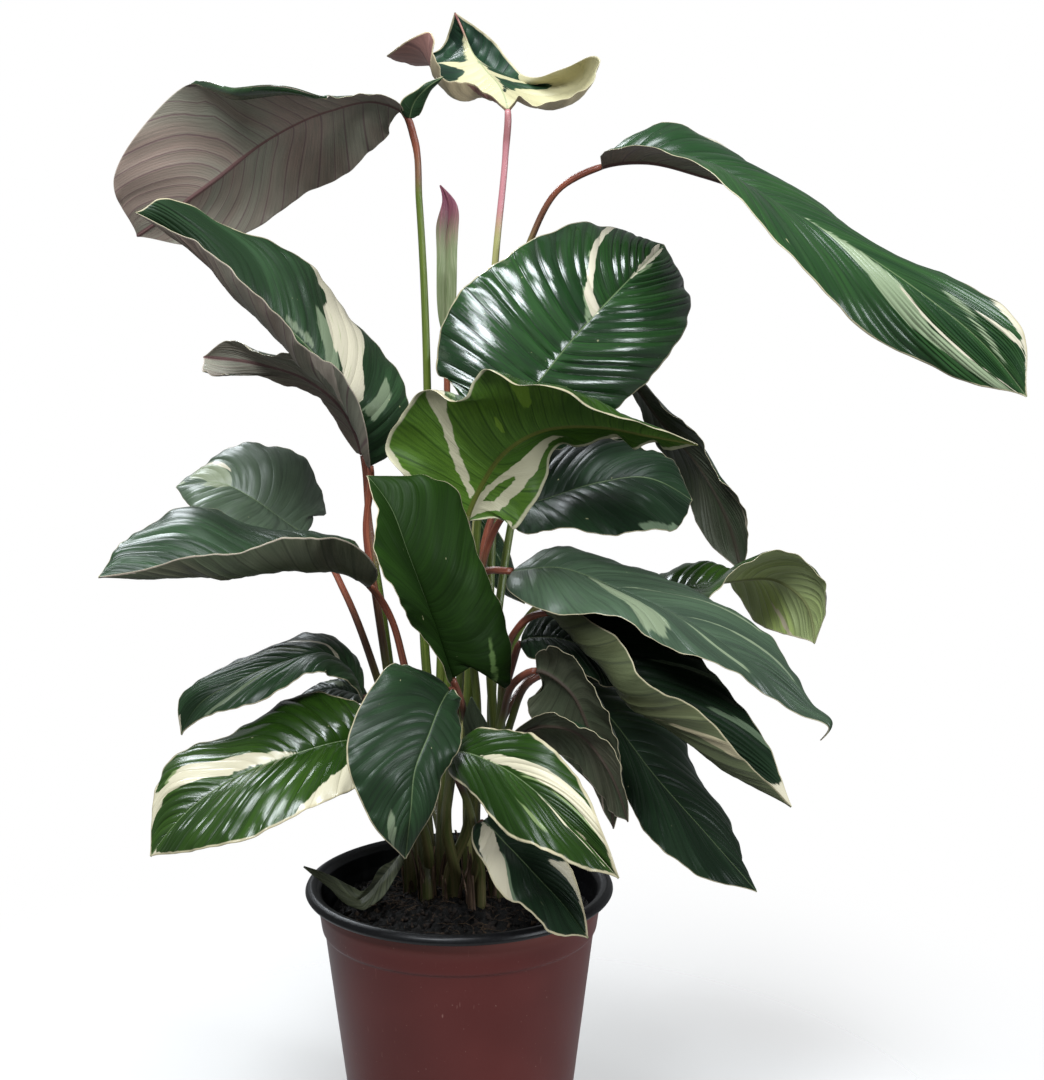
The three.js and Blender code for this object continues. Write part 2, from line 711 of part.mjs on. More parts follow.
function clumpGeometry(key) {
  const middle = CLUMPS[key];
  let clump = crownBar(middle, CROWN_RADIUS, HOLE_BOTTOM + GAP, CROWN_TOP);
  LEAVES.filter((leaf) => leaf.clump === key && leaf.stem.length).forEach((leaf) => {
    clump = clump.add(stemSolid(leaf));
  });
  return toGeometry(clump);
}

// Blades

function rowPlaces() {
  const places = [];
  for (let row = 0; row <= BLADE_ROWS; row += 1) {
    const even = row / BLADE_ROWS;
    places.push(0.5 * even + 0.25 * (1 - Math.cos(Math.PI * even)));
  }
  return places;
}

// One point of a blade's middle sheet: u along the midrib, v from -1 (left edge) to 1 (right)
function sheetPoint(leaf, line, reaches, u, v) {
  const place = line.start + u * (line.end - line.start);
  const rib = pointOn(line.curve, place);
  const side = v < 0 ? 0 : 1;
  const reach = pointOn(reaches[side], u);
  const wide = fullness(u);
  const least = THREE.MathUtils.lerp(BASE_HALF_WIDTH, TIP_HALF_WIDTH, u);
  const along = pointOn(line.curve, place + 0.2).sub(pointOn(line.curve, place - 0.2)).normalize();
  const lean = reach.dot(along);
  const square = reach.clone().addScaledVector(along, -lean).normalize();
  const offset = reach.clone()
    .addScaledVector(along, -lean * (1 - THREE.MathUtils.smoothstep(u, 0, BASE_TURN)))
    .multiplyScalar(wide)
    .addScaledVector(square, least);
  const up = side ? offset.clone().cross(along) : along.clone().cross(offset);
  up.normalize();
  const out = Math.abs(v);
  const [height, count, start] = leaf.wave;
  const ripple = height * Math.sin(2 * Math.PI * (count * u + start + side * 0.37));
  const rise = leaf.cup[side] * offset.length() * 4 * out * (1 - out)
    + ripple * out * out * Math.min(1, 1.5 * wide);
  return rib.addScaledVector(offset, out).addScaledVector(up, rise);
}

// The first row stands square to the midrib, so that it faces the end of the stem
function sheetNormals(sheet, baseAlong) {
  return sheet.map((row, i) => row.map((_, j) => {
    const ahead = sheet[Math.min(i + 1, sheet.length - 1)][j];
    const behind = sheet[Math.max(i - 1, 0)][j];
    const right = row[Math.min(j + 1, row.length - 1)];
    const left = row[Math.max(j - 1, 0)];
    const along = i === 0 ? baseAlong : ahead.clone().sub(behind);
    return right.clone().sub(left).cross(along).normalize();
  }));
}

function bladeGeometry(leaf) {
  const line = leafLine(leaf);
  const reaches = [reachCurve(leaf.left), reachCurve(leaf.right)];
  const places = rowPlaces();
  const columns = 2 * HALF_COLUMNS + 1;
  const sheet = places.map((u) => (
    Array.from({ length: columns }, (_, j) => (
      sheetPoint(leaf, line, reaches, u, j / HALF_COLUMNS - 1)
    ))
  ));
  const baseAlong = pointOn(line.curve, line.start + 0.2).sub(pointOn(line.curve, line.start - 0.2));
  const normals = sheetNormals(sheet, baseAlong.normalize());
  const upper = [];
  const lower = [];
  sheet.forEach((row, i) => row.forEach((point, j) => {
    const ridge = j === HALF_COLUMNS ? RIDGE_DEPTH * (1 - places[i]) : 0;
    upper.push(...point.clone().addScaledVector(normals[i][j], BLADE_HALF_THICKNESS).toArray());
    lower.push(...point.clone()
      .addScaledVector(normals[i][j], -BLADE_HALF_THICKNESS - ridge).toArray());
  }));
  const indices = [];
  const below = upper.length / 3;
  for (let i = 0; i < BLADE_ROWS; i += 1) {
    for (let j = 0; j < columns - 1; j += 1) {
      const a = i * columns + j;
      const b = a + 1;
      const c = b + columns;
      const d = a + columns;
      indices.push(a, b, c, a, c, d);
      indices.push(below + a, below + c, below + b, below + a, below + d, below + c);
    }
  }
  const wall = (a, b) => indices.push(a, below + a, below + b, a, below + b, b);
  const final = BLADE_ROWS * columns;
  for (let j = 0; j < columns - 1; j += 1) {
    wall(j, j + 1);
    wall(final + j + 1, final + j);
  }
  for (let i = 0; i < BLADE_ROWS; i += 1) {
    wall((i + 1) * columns, i * columns);
    wall(i * columns + columns - 1, (i + 1) * columns + columns - 1);
  }
  return closedGeometry([...upper, ...lower], indices);
}

// The whole plant

const group = new THREE.Group();
group.name = 'potted_calathea';
group.add(part('pot', potGeometry(), POT_COLOUR, 0.55));
group.add(part('potting_mix', mixGeometry(), MIX_COLOUR, 0.95));
Object.keys(CLUMPS).forEach((key) => {
  group.add(part(`stems_${key}`, clumpGeometry(key), STEM_COLOUR, 0.5));
});
LEAVES.forEach((leaf) => {
  group.add(part(`leaf_${leaf.name}`, bladeGeometry(leaf), leaf.colour ?? BLADE_COLOUR, 0.4));
});

export default group;
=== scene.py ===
# A potted princess dalya calathea: pot, potting mix, clumps of leafy stems and patterned blades.
# Metres, +Z up, origin at the middle of the pot's base, photographed from the -Y side.
import math

import bpy
import numpy as np

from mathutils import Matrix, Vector


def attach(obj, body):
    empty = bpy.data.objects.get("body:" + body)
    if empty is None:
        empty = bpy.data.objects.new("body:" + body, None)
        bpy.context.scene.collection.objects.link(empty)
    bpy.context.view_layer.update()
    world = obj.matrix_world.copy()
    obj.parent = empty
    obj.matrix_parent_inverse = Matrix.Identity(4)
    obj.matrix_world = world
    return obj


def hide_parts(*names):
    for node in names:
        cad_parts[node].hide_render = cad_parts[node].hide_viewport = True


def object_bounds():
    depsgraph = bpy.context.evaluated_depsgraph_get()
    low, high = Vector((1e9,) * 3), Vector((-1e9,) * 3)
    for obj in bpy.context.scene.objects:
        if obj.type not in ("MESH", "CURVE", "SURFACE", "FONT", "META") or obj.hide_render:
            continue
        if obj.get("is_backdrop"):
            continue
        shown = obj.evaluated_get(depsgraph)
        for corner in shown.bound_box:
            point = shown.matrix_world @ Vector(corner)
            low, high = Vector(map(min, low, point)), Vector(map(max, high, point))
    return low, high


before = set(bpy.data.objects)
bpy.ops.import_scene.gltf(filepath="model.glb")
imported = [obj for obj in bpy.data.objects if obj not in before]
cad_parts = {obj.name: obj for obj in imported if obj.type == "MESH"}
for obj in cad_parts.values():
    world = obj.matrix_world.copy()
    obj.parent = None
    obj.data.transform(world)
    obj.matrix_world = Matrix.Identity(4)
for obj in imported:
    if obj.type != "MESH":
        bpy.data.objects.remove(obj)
CAD_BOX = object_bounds()
MM = 0.001

# Camera, at the photograph's place and angle
CAMERA_PLACE = (0.03249, -0.94405, 0.4919)
CAMERA_PITCH = math.radians(9.77)
CAMERA_LENS = 63.33
SENSOR_WIDTH = 36

# Lamps: the place of each in metres, its width and height, and its power in watts
LAMPS = {
    "window": ((-0.4, -1.15, 1.5), (0.45, 0.5), 32),
    "ceiling": ((-0.1, -0.25, 1.5), (0.6, 0.45), 24),
    "side": ((1.35, -0.85, 0.55), (0.35, 0.5), 15),
    "back": ((-0.7, 1.3, 1.4), (0.5, 0.5), 16),
}
LAMP_TARGET = (0, 0, 0.35)
LAMP_COLOUR = (0.89, 0.945, 1)
ROOM_COLOUR = (0.94, 0.97, 1, 1)
ROOM_STRENGTH = 0.3
BACKDROP_COLOUR = (1, 1, 1, 1)

# Floor, in metres
FLOOR_RADIUS = 1.2
FLOOR_GAP = 0.0004

# Pot, in millimetres
POT_HEIGHT = 150
LIP_RADIUS = 80
LIP_HEIGHT = 5.5
COLLAR_RADIUS = 73
COLLAR_DEPTH = 23
BODY_RADIUS = 70
BASE_RADIUS = 55
WALL = 1.4
BASE_LIFT = 3
POT_SEGMENTS = 180

# Potting mix, in millimetres
MIX_LEVEL = 132
MIX_MOUND = 8
MIX_MOUND_RADIUS = 42
MIX_EDGE_GAP = 0.6
MIX_BOTTOM = 5
MIX_RINGS = 110
MIX_SEGMENTS = 260
CRUMB_WAVES = 16
CHIP_COUNT = 2200
CHIP_STRETCH = (1, 0.8, 0.5)
CHIP_LIFT = 0.5
BARK_SHARE = 0.16
FIBRE_COUNT = 150
FIBRE_POINTS = 7
FIBRE_SIDES = 4
FIBRE_LENGTHS = (5, 13)
FIBRE_RADII = (0.1, 0.24)
FIBRE_ARCHES = (0.3, 2.2)

# Height and size of each layer of lumps on the mix, in millimetres, and its seed
CRUMB_LAYERS = [(1.1, 8, 1), (0.9, 3.5, 2), (0.5, 1.8, 3)]

# Seeds of the random draws, so that each run gives the same plant
CHIP_SEED = 7
FIBRE_SEED = 11
SHEATH_SEED = 23
RELIEF_SEED = 40
VEIN_SEED = 70

# Stems, in millimetres
STEM_START = 128
STEM_CLEAR = 152
STEM_SPREAD = 1.8
STEM_TURN = 2.4
STEM_RADIUS = 2.5
STEM_END_RADIUS = 1.6
STEM_SIDES = 14
STEM_STEP = 3
STEM_TO_BLADE = 0.4
JOINT_BULGE = 0.25
FOOT_BULGE = 0.6
FAR_FROM_BLADE = 999.0

# Dry sheaths round each clump's foot, in millimetres
SHEATHS_PER_CLUMP = 4
SHEATH_ROWS = 9
SHEATH_COLUMNS = 7
SHEATH_THICKNESS = 0.35
SHEATH_HALF_TURN = 0.72
SHEATH_HEIGHTS = (14, 44)
SHEATH_RADII = (4.4, 5.4)
SHEATH_LEANS = (0, 7)

# Blades, in millimetres
LEAST_VEINS = 12
VEINS_PER_MM = 0.06
ROWS_PER_VEIN = 8
SWEEP_POWER = 1.3
HALF_THICKNESS = 0.22
BASE_HALF_WIDTH = 1.3
TIP_HALF_WIDTH = 0.5
BASE_TURN = 0.18
DIRECTION_STEP = 0.2
VEIN_WANDER = 0.12
SWAY_HEIGHT = 0.8
RUFFLE_HEIGHT = 0.5
MIDRIB_GROOVE = 0.22
MIDRIB_GROOVE_WIDTH = 0.8
FOLD_LIFT = 1.6
FOLD_ROOM = 3
MIDRIB_RIDGE = (1.3, 0.3)
MIDRIB_RIDGE_WIDTH = (1.15, 0.4)

# Power and fullness of a blade's outline towards its tip, and its widest place
OUTLINE_POWER = 1.7
OUTLINE_FULLNESS = 1.15
OUTLINE_WIDEST = 0.482

# How much later the waves of a right edge start than those of the left, in waves
EDGE_SHIFT = 0.37

# Columns of a blade's mesh, from its midrib at 0 to its edge at 1
COLUMNS = [
    0, 0.012, 0.024, 0.04, 0.065, 0.1, 0.16, 0.23, 0.31, 0.4, 0.49, 0.58, 0.67, 0.76, 0.84, 0.9,
    0.945, 0.98, 1,
]

# How much of a patch's depth counts across the blade, so that its ends fray along the veins
RAGGED = 0.4

# Depth of a point that lies in no patch, and the shift of the noise from one blade to the next
FAR_OUTSIDE = -20.0
NOISE_SHIFT = 13.7
NOISE_SHIFT_OF_STEMS = 7.3
NOISE_SHIFT_OF_SHEATHS = 3.1

# Material slots of the leaves that aren't plain blades
LEAF_SLOTS = {
    "rolled_spear": "young_leaf", "withered": "withered_leaf", "front_sheath": "sheath",
}

# Stems paler than the others, from 0 to 1
PALE_STEMS = {"top_leaf": 1}

# Blades whose edge is frilled: the height in millimetres, the count of waves and their start
FRILLS = {"broad_backlit": (3.2, 5.3, 0.15)}

# Blades whose edge rolls over to the under side: the half, where the roll begins and ends along
# the midrib and its depth in millimetres
ROLLS = {"top_left": (0, 0.22, 0.66, 12)}

# Column of the mesh that the fold of a rolled edge follows, and how far along the midrib the fold
# takes to settle
FOLD_COLUMN = 0.84
FOLD_SETTLES = 0.06

# Middle of each clump of stems in the mix
CLUMPS = {
    "left_back": (-26, 20),
    "left": (-17, 4),
    "back": (-9, 24),
    "middle": (-4, 0),
    "back_middle": (6, 15),
    "right_back": (21, 23),
    "right": (20, 3),
    "front": (9, -10),
}

# Each leaf as in the frame, in millimetres: its stem's points above the mix, its midrib from base
# to tip, and the reach of its left and right halves at evenly spaced stations of the midrib, seen
# from above with the tip ahead. "cup" arches each half up and "wave" is the edge's height, its
# count of waves and where they start, and a leaf without them has the usual ones.
USUAL_CUP = (0.1, 0.1)
USUAL_WAVE = (1.5, 3, 0)
LEAVES = {
    "top_left": {
        "clump": "back",
        "stem": [(-19, 35, 270), (-16, 29, 397), (-19, 22, 498), (-21, 19, 528)],
        "rib": [
            (-26, 16, 541), (-38, 16, 546), (-63, 19, 542), (-93, 26, 529), (-123, 35, 508),
            (-166, 48, 480),
        ],
        "left": [(3, -37, 2), (6, -44, 11), (-2, -38, 22), (-18, -6, 42), (-30, -7, 12)],
        "right": [(13, 31, -15), (21, 32, -24), (18, 34, -22), (14, 19, -26), (2, 7, -18)],
        "cup": (0.03, 0.1),
    },
    "left_trough": {
        "clump": "left_back",
        "stem": [(-37, 19, 252), (-42, 8, 297), (-46, 0, 334)],
        "rib": [
            (-43, -6, 368), (-51, -13, 400), (-70, -19, 426), (-92, -29, 449), (-117, -38, 474),
            (-147, -48, 492),
        ],
        "left": [(0, -31, 15), (0, -40, 5), (3, -34, 7), (-2, -19, 4)],
        "right": [
            (24, 17, 5), (22, 31, 5), (20, 32, 12), (19, 24, 18), (5, 20, 17), (-8, -2, 18),
        ],
        "cup": (-0.2, 0.1),
    },
    "left_under": {
        "clump": "left_back",
        "stem": [(-36, 35, 243), (-42, 38, 291), (-48, 42, 333)],
        "rib": [(-51, 45, 367), (-61, 54, 388), (-80, 67, 403), (-108, 83, 411), (-142, 99, 414)],
        "left": [(-2, -11, 18), (-5, -17, 16), (-7, -17, 10), (-9, -1, 10)],
        "right": [(-10, 18, 1), (-15, 18, -2), (-19, 7, -2), (-20, -4, -6)],
    },
    "left_mid_back": {
        "clump": "left_back",
        "stem": [(-32, 32, 205), (-44, 38, 247), (-62, 48, 293), (-73, 54, 312)],
        "rib": [
            (-84, 58, 322), (-95, 58, 330), (-113, 58, 343), (-126, 61, 349), (-153, 64, 347),
        ],
        "left": [(12, -20, -19), (6, -29, -20), (-1, -31, -18), (-3, -25, -10)],
        "right": [(21, 29, 2), (19, 32, 20), (4, 30, 19), (-6, 19, 5)],
    },
    "left_mid": {
        "clump": "left",
        "stem": [(-21, -3, 226), (-27, -13, 269), (-34, -22, 297)],
        "rib": [
            (-43, -29, 312), (-56, -35, 321), (-79, -42, 327), (-110, -48, 327), (-140, -54, 324),
            (-168, -61, 322),
        ],
        "left": [(9, -24, 17), (15, -30, 14), (15, -25, 11), (9, -14, 6)],
        "right": [(13, 22, 6), (-4, 50, 6), (-15, 49, 18), (-18, 28, 12)],
        "cup": (-0.3, 0.1),
    },
    "left_low_back": {
        "clump": "left",
        "stem": [(-21, 6, 180), (-30, 0, 214), (-40, -6, 239)],
        "rib": [
            (-48, -10, 251), (-55, -13, 266), (-66, -16, 274), (-86, -19, 271), (-110, -26, 262),
            (-127, -29, 252), (-137, -29, 236),
        ],
        "left": [(1, -24, -1), (7, -27, -4), (2, -23, -8), (0, -12, -7)],
        "right": [(3, 24, 0), (0, 28, 5), (-6, 23, 2), (-13, 6, 1)],
    },
    "left_small": {
        "clump": "left",
        "stem": [(-19, 13, 173), (-31, 16, 204), (-42, 19, 229)],
        "rib": [(-49, 19, 240), (-60, 19, 246), (-73, 16, 247), (-84, 13, 244)],
        "left": [(2, -19, 0), (2, -21, -1), (0, -15, -2)],
        "right": [(0, 16, 4), (0, 17, 1), (-1, 14, -1)],
        "wave": (0.5, 2, 0),
    },
    "left_front": {
        "clump": "left",
        "stem": [(-16, -3, 167), (-23, -16, 203), (-27, -32, 225)],
        "rib": [
            (-32, -42, 235), (-53, -54, 240), (-74, -64, 237), (-101, -74, 229), (-126, -83, 213),
            (-142, -90, 194),
        ],
        "left": [(12, -25, -12), (15, -36, -14), (10, -40, -16), (4, -23, -12)],
        "right": [(4, 20, 15), (-4, 37, 18), (-12, 33, 9), (-17, 19, 11)],
    },
    "hanging_front": {
        "clump": "middle",
        "stem": [(-6, -10, 180), (-3, -22, 221), (0, -42, 250)],
        "rib": [
            (-2, -61, 267), (-6, -74, 263), (-11, -86, 252), (-17, -96, 238), (-19, -99, 220),
            (-22, -96, 195),
        ],
        "left": [(10, 13, 1), (15, 10, -2), (13, 7, -1), (7, 3, -1)],
        "right": [(-21, 8, 19), (-33, -7, 10), (-30, -11, 4), (-22, -11, 1), (-11, -10, 0)],
    },
    "front_tall": {
        "clump": "middle",
        "stem": [(4, -6, 179), (6, -24, 222), (4, -45, 253)],
        "rib": [
            (-1, -57, 272), (-11, -66, 306), (-21, -69, 335), (-29, -63, 355), (-41, -51, 369),
        ],
        "left": [(-6, -23, 8), (-12, -32, 7), (-12, -27, 9), (-7, -12, 5)],
        "right": [(32, 22, -28), (37, 19, -14), (31, 18, -3), (24, 15, 11)],
    },
    "broad_backlit": {
        "clump": "back",
        "stem": [(-2, 15, 221), (2, 0, 278), (4, -9, 316)],
        "rib": [
            (5, -12, 341), (12, -15, 358), (24, -21, 376), (41, -27, 387), (70, -33, 390),
            (94, -36, 386), (117, -36, 382),
        ],
        "left": [(15, 14, -27), (15, 37, -13), (17, 32, -10), (11, 18, -9)],
        "right": [(-44, -20, 12), (-50, -22, 21), (-44, -31, 21), (-46, -36, 27), (-25, -24, 16)],
    },
    "right_mid_dark": {
        "clump": "back_middle",
        "stem": [(7, 26, 240), (10, 32, 292), (15, 35, 321)],
        "rib": [(23, 35, 336), (47, 32, 346), (73, 26, 355), (96, 22, 358), (120, 22, 346)],
        "left": [(3, 25, 21), (8, 31, 21), (14, 26, 14), (11, 14, 5)],
        "right": [(-3, -30, -11), (5, -42, -15), (10, -40, -21), (11, -22, -19)],
    },
    "glossy_upper": {
        "clump": "back_middle",
        "stem": [(5, 22, 241), (8, 19, 305), (11, 16, 347)],
        "rib": [(17, 9, 381), (35, 14, 401), (60, 31, 430), (86, 58, 455), (109, 90, 475)],
        "left": [(-48, 5, 12), (-57, 6, 22), (-46, 6, 27), (-20, 18, 25)],
        "right": [(27, 20, -21), (37, 17, -23), (39, 12, -19), (28, 14, -9)],
    },
    "top_leaf": {
        "clump": "back_middle",
        "stem": [(1, 29, 228), (7, 46, 311), (13, 60, 394), (19, 66, 473), (24, 68, 524)],
        "rib": [
            (25, 67, 545), (21, 78, 557), (13, 92, 567), (6, 104, 577), (1, 113, 588),
            (-4, 120, 599),
        ],
        "left": [
            (-7, -11, -2), (-15, -25, -2), (-21, -38, -4), (-23, -46, 1), (-23, -41, 7),
            (-42, 3, -8), (-11, 9, -9),
        ],
        "right": [
            (12, -17, -7), (32, -35, -12), (51, -42, -9), (58, -38, 0), (31, -11, -13),
            (22, 1, -10), (12, 3, -3),
        ],
        "cup": (-0.3, -0.3),
        "wave": (0.6, 2, 0),
    },
    "long_right": {
        "clump": "right_back",
        "stem": [(15, 56, 265), (20, 74, 371), (27, 83, 435), (37, 90, 477), (53, 86, 505)],
        "rib": [
            (75, 80, 516), (97, 70, 518), (125, 58, 511), (154, 42, 500), (187, 22, 482),
            (234, 3, 450), (260, -6, 428), (280, -14, 403),
        ],
        "left": [
            (5, 25, 20), (11, 37, 18), (11, 44, 8), (15, 42, 2), (19, 33, 0), (22, 17, 5),
            (18, -4, 5),
        ],
        "right": [
            (-10, -29, 9), (-11, -40, 4), (-12, -44, -8), (-12, -37, -21), (-12, -19, -31),
            (-5, -1, -29), (1, -2, -20),
        ],
    },
    "right_under": {
        "clump": "right_back",
        "stem": [(16, 58, 231), (29, 90, 336), (45, 109, 401), (68, 115, 417)],
        "rib": [
            (92, 115, 401), (107, 112, 381), (132, 106, 351), (147, 102, 323), (155, 99, 294),
        ],
        "left": [(-2, 21, -12), (-5, 17, -18), (-8, -2, -15)],
        "right": [(9, -22, 2), (11, -22, -3), (11, -10, -6)],
    },
    "right_bright": {
        "clump": "right_back",
        "stem": [(21, 45, 212), (26, 58, 259), (42, 61, 283), (69, 61, 290)],
        "rib": [
            (96, 58, 288), (122, 54, 294), (146, 48, 299), (166, 38, 301), (179, 28, 293),
            (184, 16, 272),
        ],
        "left": [(-5, 27, 4), (-3, 32, 6), (-5, 46, -9), (-9, 26, -27), (-8, 10, -17)],
        "right": [(-9, -23, -6), (-8, -38, -4), (-7, -36, 16), (1, -28, 19), (7, -22, 12)],
    },
    "right_long_low": {
        "clump": "back_middle",
        "stem": [(9, 16, 242), (6, 10, 286), (8, 3, 304), (14, -6, 314)],
        "rib": [
            (28, -19, 317), (51, -32, 321), (80, -42, 312), (113, -51, 298), (142, -58, 279),
            (168, -61, 255), (180, -61, 248), (176, -61, 242),
        ],
        "left": [(1, 32, 6), (4, 37, 6), (11, 30, 8), (9, 16, 5)],
        "right": [(-11, -30, -13), (-9, -36, -4), (-13, -34, -3), (-11, -27, 0), (-5, -15, 3)],
    },
    "right_dark_long": {
        "clump": "right",
        "stem": [(20, 0, 214), (23, -10, 254), (28, -16, 284), (36, -22, 294)],
        "rib": [(46, -29, 298), (70, -42, 282), (96, -58, 261), (122, -70, 241), (159, -86, 217)],
        "left": [(12, 21, 20), (21, 24, 16), (22, 16, 14), (17, 2, 3)],
        "right": [(3, -27, 15), (-2, -33, 15), (2, -27, 15), (6, -16, 5)],
        "cup": (0.1, -0.3),
    },
    "right_small_dark": {
        "clump": "right",
        "stem": [(20, 3, 208), (23, 0, 244), (28, -3, 267)],
        "rib": [(32, -6, 278), (46, -13, 282), (62, -19, 279), (82, -26, 259)],
        "left": [(1, 35, 5), (9, 40, 1), (9, 22, -2)],
        "right": [(-4, -9, -9), (-3, -17, -8), (0, -13, -8)],
    },
    "right_hanging": {
        "clump": "right",
        "stem": [(22, -3, 199), (27, -6, 237), (37, -6, 258)],
        "rib": [(52, -6, 263), (74, -13, 244), (99, -22, 213), (124, -35, 187), (149, -45, 160)],
        "left": [(10, 35, 4), (17, 38, 7), (17, 34, 0), (13, 22, -9)],
        "right": [(-7, -9, -15), (-6, -29, -13), (-12, -33, -12), (-4, -20, -10)],
    },
    "front_under_wide": {
        "clump": "right",
        "stem": [(19, -10, 202), (23, -19, 243), (29, -29, 263)],
        "rib": [(40, -38, 271), (56, -48, 263), (66, -54, 243), (73, -58, 224), (77, -58, 197)],
        "left": [(-18, 18, -13), (-20, 14, -14), (-14, 11, -5), (-5, 8, -6)],
        "right": [(-6, -11, 22), (4, -22, 21), (5, -24, 17), (5, -15, 9)],
    },
    "front_under_arch": {
        "clump": "right",
        "stem": [(17, -6, 179), (20, -19, 210), (23, -35, 227)],
        "rib": [(30, -48, 240), (43, -64, 250), (60, -80, 250), (71, -90, 239), (82, -93, 212)],
        "left": [(3, 13, -13), (2, 13, -19), (-1, 12, -18), (-1, 9, -17)],
        "right": [(1, -9, 8), (3, -16, 7), (5, -16, 7), (4, -10, 2)],
    },
    "front_right": {
        "clump": "front",
        "stem": [(10, -29, 176), (6, -42, 204), (1, -51, 221)],
        "rib": [
            (-1, -58, 233), (18, -86, 239), (36, -106, 233), (56, -122, 218), (76, -128, 197),
        ],
        "left": [(11, 11, 10), (16, 4, 12), (16, 4, 6), (9, -1, 2)],
        "right": [(-3, -15, -11), (-4, -28, -16), (-3, -31, -12), (1, -17, -8)],
    },
    "front_low": {
        "clump": "front",
        "stem": [(10, -22, 167), (10, -35, 183)],
        "rib": [(13, -45, 196), (25, -61, 190), (40, -80, 180), (53, -96, 171), (63, -106, 160)],
        "left": [(3, 23, 2), (13, 7, 5), (13, 1, 5), (8, -3, -1)],
        "right": [(-12, -6, -3), (-14, -19, -1), (-10, -25, -3), (-3, -19, -5)],
    },
    "rolled_spear": {
        "clump": "back",
        "stem": [(-11, 32, 216), (-8, 46, 332), (-7, 54, 384)],
        "rib": [(-7, 57, 429), (-7, 58, 452), (-7, 58, 478), (-6, 58, 496), (-10, 58, 506)],
        "left": [(-4, -1, -1), (-4, -1, 5), (-4, -1, 4)],
        "right": [(4, -1, -1), (5, -1, 5), (5, -1, 4)],
        "wave": (0, 1, 0),
    },
    "side_leaflet": {
        "clump": "back",
        "stem": [],
        "rib": [(-23, 15, 538), (-20, 11, 546), (-14, 8, 552), (-6, 6, 557)],
        "left": [(-5, -1, 1), (-2, -1, 1), (-1, 1, 1)],
        "right": [(3, 3, -3), (2, 3, -2), (1, 3, -1)],
        "wave": (0.4, 2, 0),
    },
    "withered": {
        "clump": "left_back",
        "stem": [],
        "rib": [
            (-31, 13, 158), (-40, 4, 149), (-49, -3, 141), (-52, -5, 140), (-56, -6, 142),
            (-67, -7, 151),
            (-80, -8, 160),
        ],
        "left": [(-1, 6, 3), (1, 5, 3), (2, 2, 2)],
        "right": [(3, -4, -2), (2, -3, -3), (0, -2, -2)],
        "cup": (0.3, -0.3),
        "wave": (0.8, 3, 0),
    },
    "front_sheath": {
        "clump": "middle",
        "stem": [],
        "rib": [(13, -24, 201), (13, -34, 226), (10, -44, 247), (8, -52, 261)],
        "left": [(-5, 2, -4), (-6, -1, 2), (-5, -3, 3)],
        "right": [(4, 4, -8), (5, 1, -3), (5, -2, -1)],
        "cup": (-0.2, -0.2),
        "wave": (0.5, 2, 0),
    },
    "back_leaf": {
        "clump": "back",
        "stem": [(-8, 41, 268), (-12, 51, 310), (-12, 55, 336)],
        "rib": [(-11, 60, 349), (-6, 69, 351), (3, 80, 337), (18, 90, 307), (34, 99, 276)],
        "left": [(3, -1, 3), (3, 1, 5), (4, 6, 2)],
        "right": [(-7, 8, -8), (-8, 8, -11), (-3, 8, -14)],
        "wave": (1, 2, 0),
    },
    "back_low_left": {
        "clump": "back",
        "stem": [(-16, 40, 186), (-20, 50, 217)],
        "rib": [
            (-24, 60, 230), (-31, 82, 231), (-40, 112, 217), (-48, 138, 191), (-52, 152, 159),
        ],
        "left": [(15, -7, 2), (19, -2, -4), (20, 1, -6)],
        "right": [(-11, 1, 0), (-18, 8, -2), (-18, 11, -7)],
    },
    "back_low_right": {
        "clump": "right_back",
        "stem": [(18, 46, 212), (31, 70, 233)],
        "rib": [(45, 92, 241), (64, 112, 239), (84, 136, 222), (99, 150, 194), (109, 156, 164)],
        "left": [(10, 24, 2), (15, 23, -1), (15, 20, -6)],
        "right": [(-10, -20, -11), (-12, -19, -17), (-9, -14, -15)],
    },
    "back_mid": {
        "clump": "back_middle",
        "stem": [(5, 30, 260), (10, 48, 310)],
        "rib": [(21, 56, 341), (37, 72, 354), (59, 92, 360), (83, 112, 357), (108, 124, 347)],
        "left": [(5, 12, 15), (9, 19, 15), (11, 20, 10)],
        "right": [(5, -14, -15), (6, -15, -16), (7, -14, -17)],
    },
}

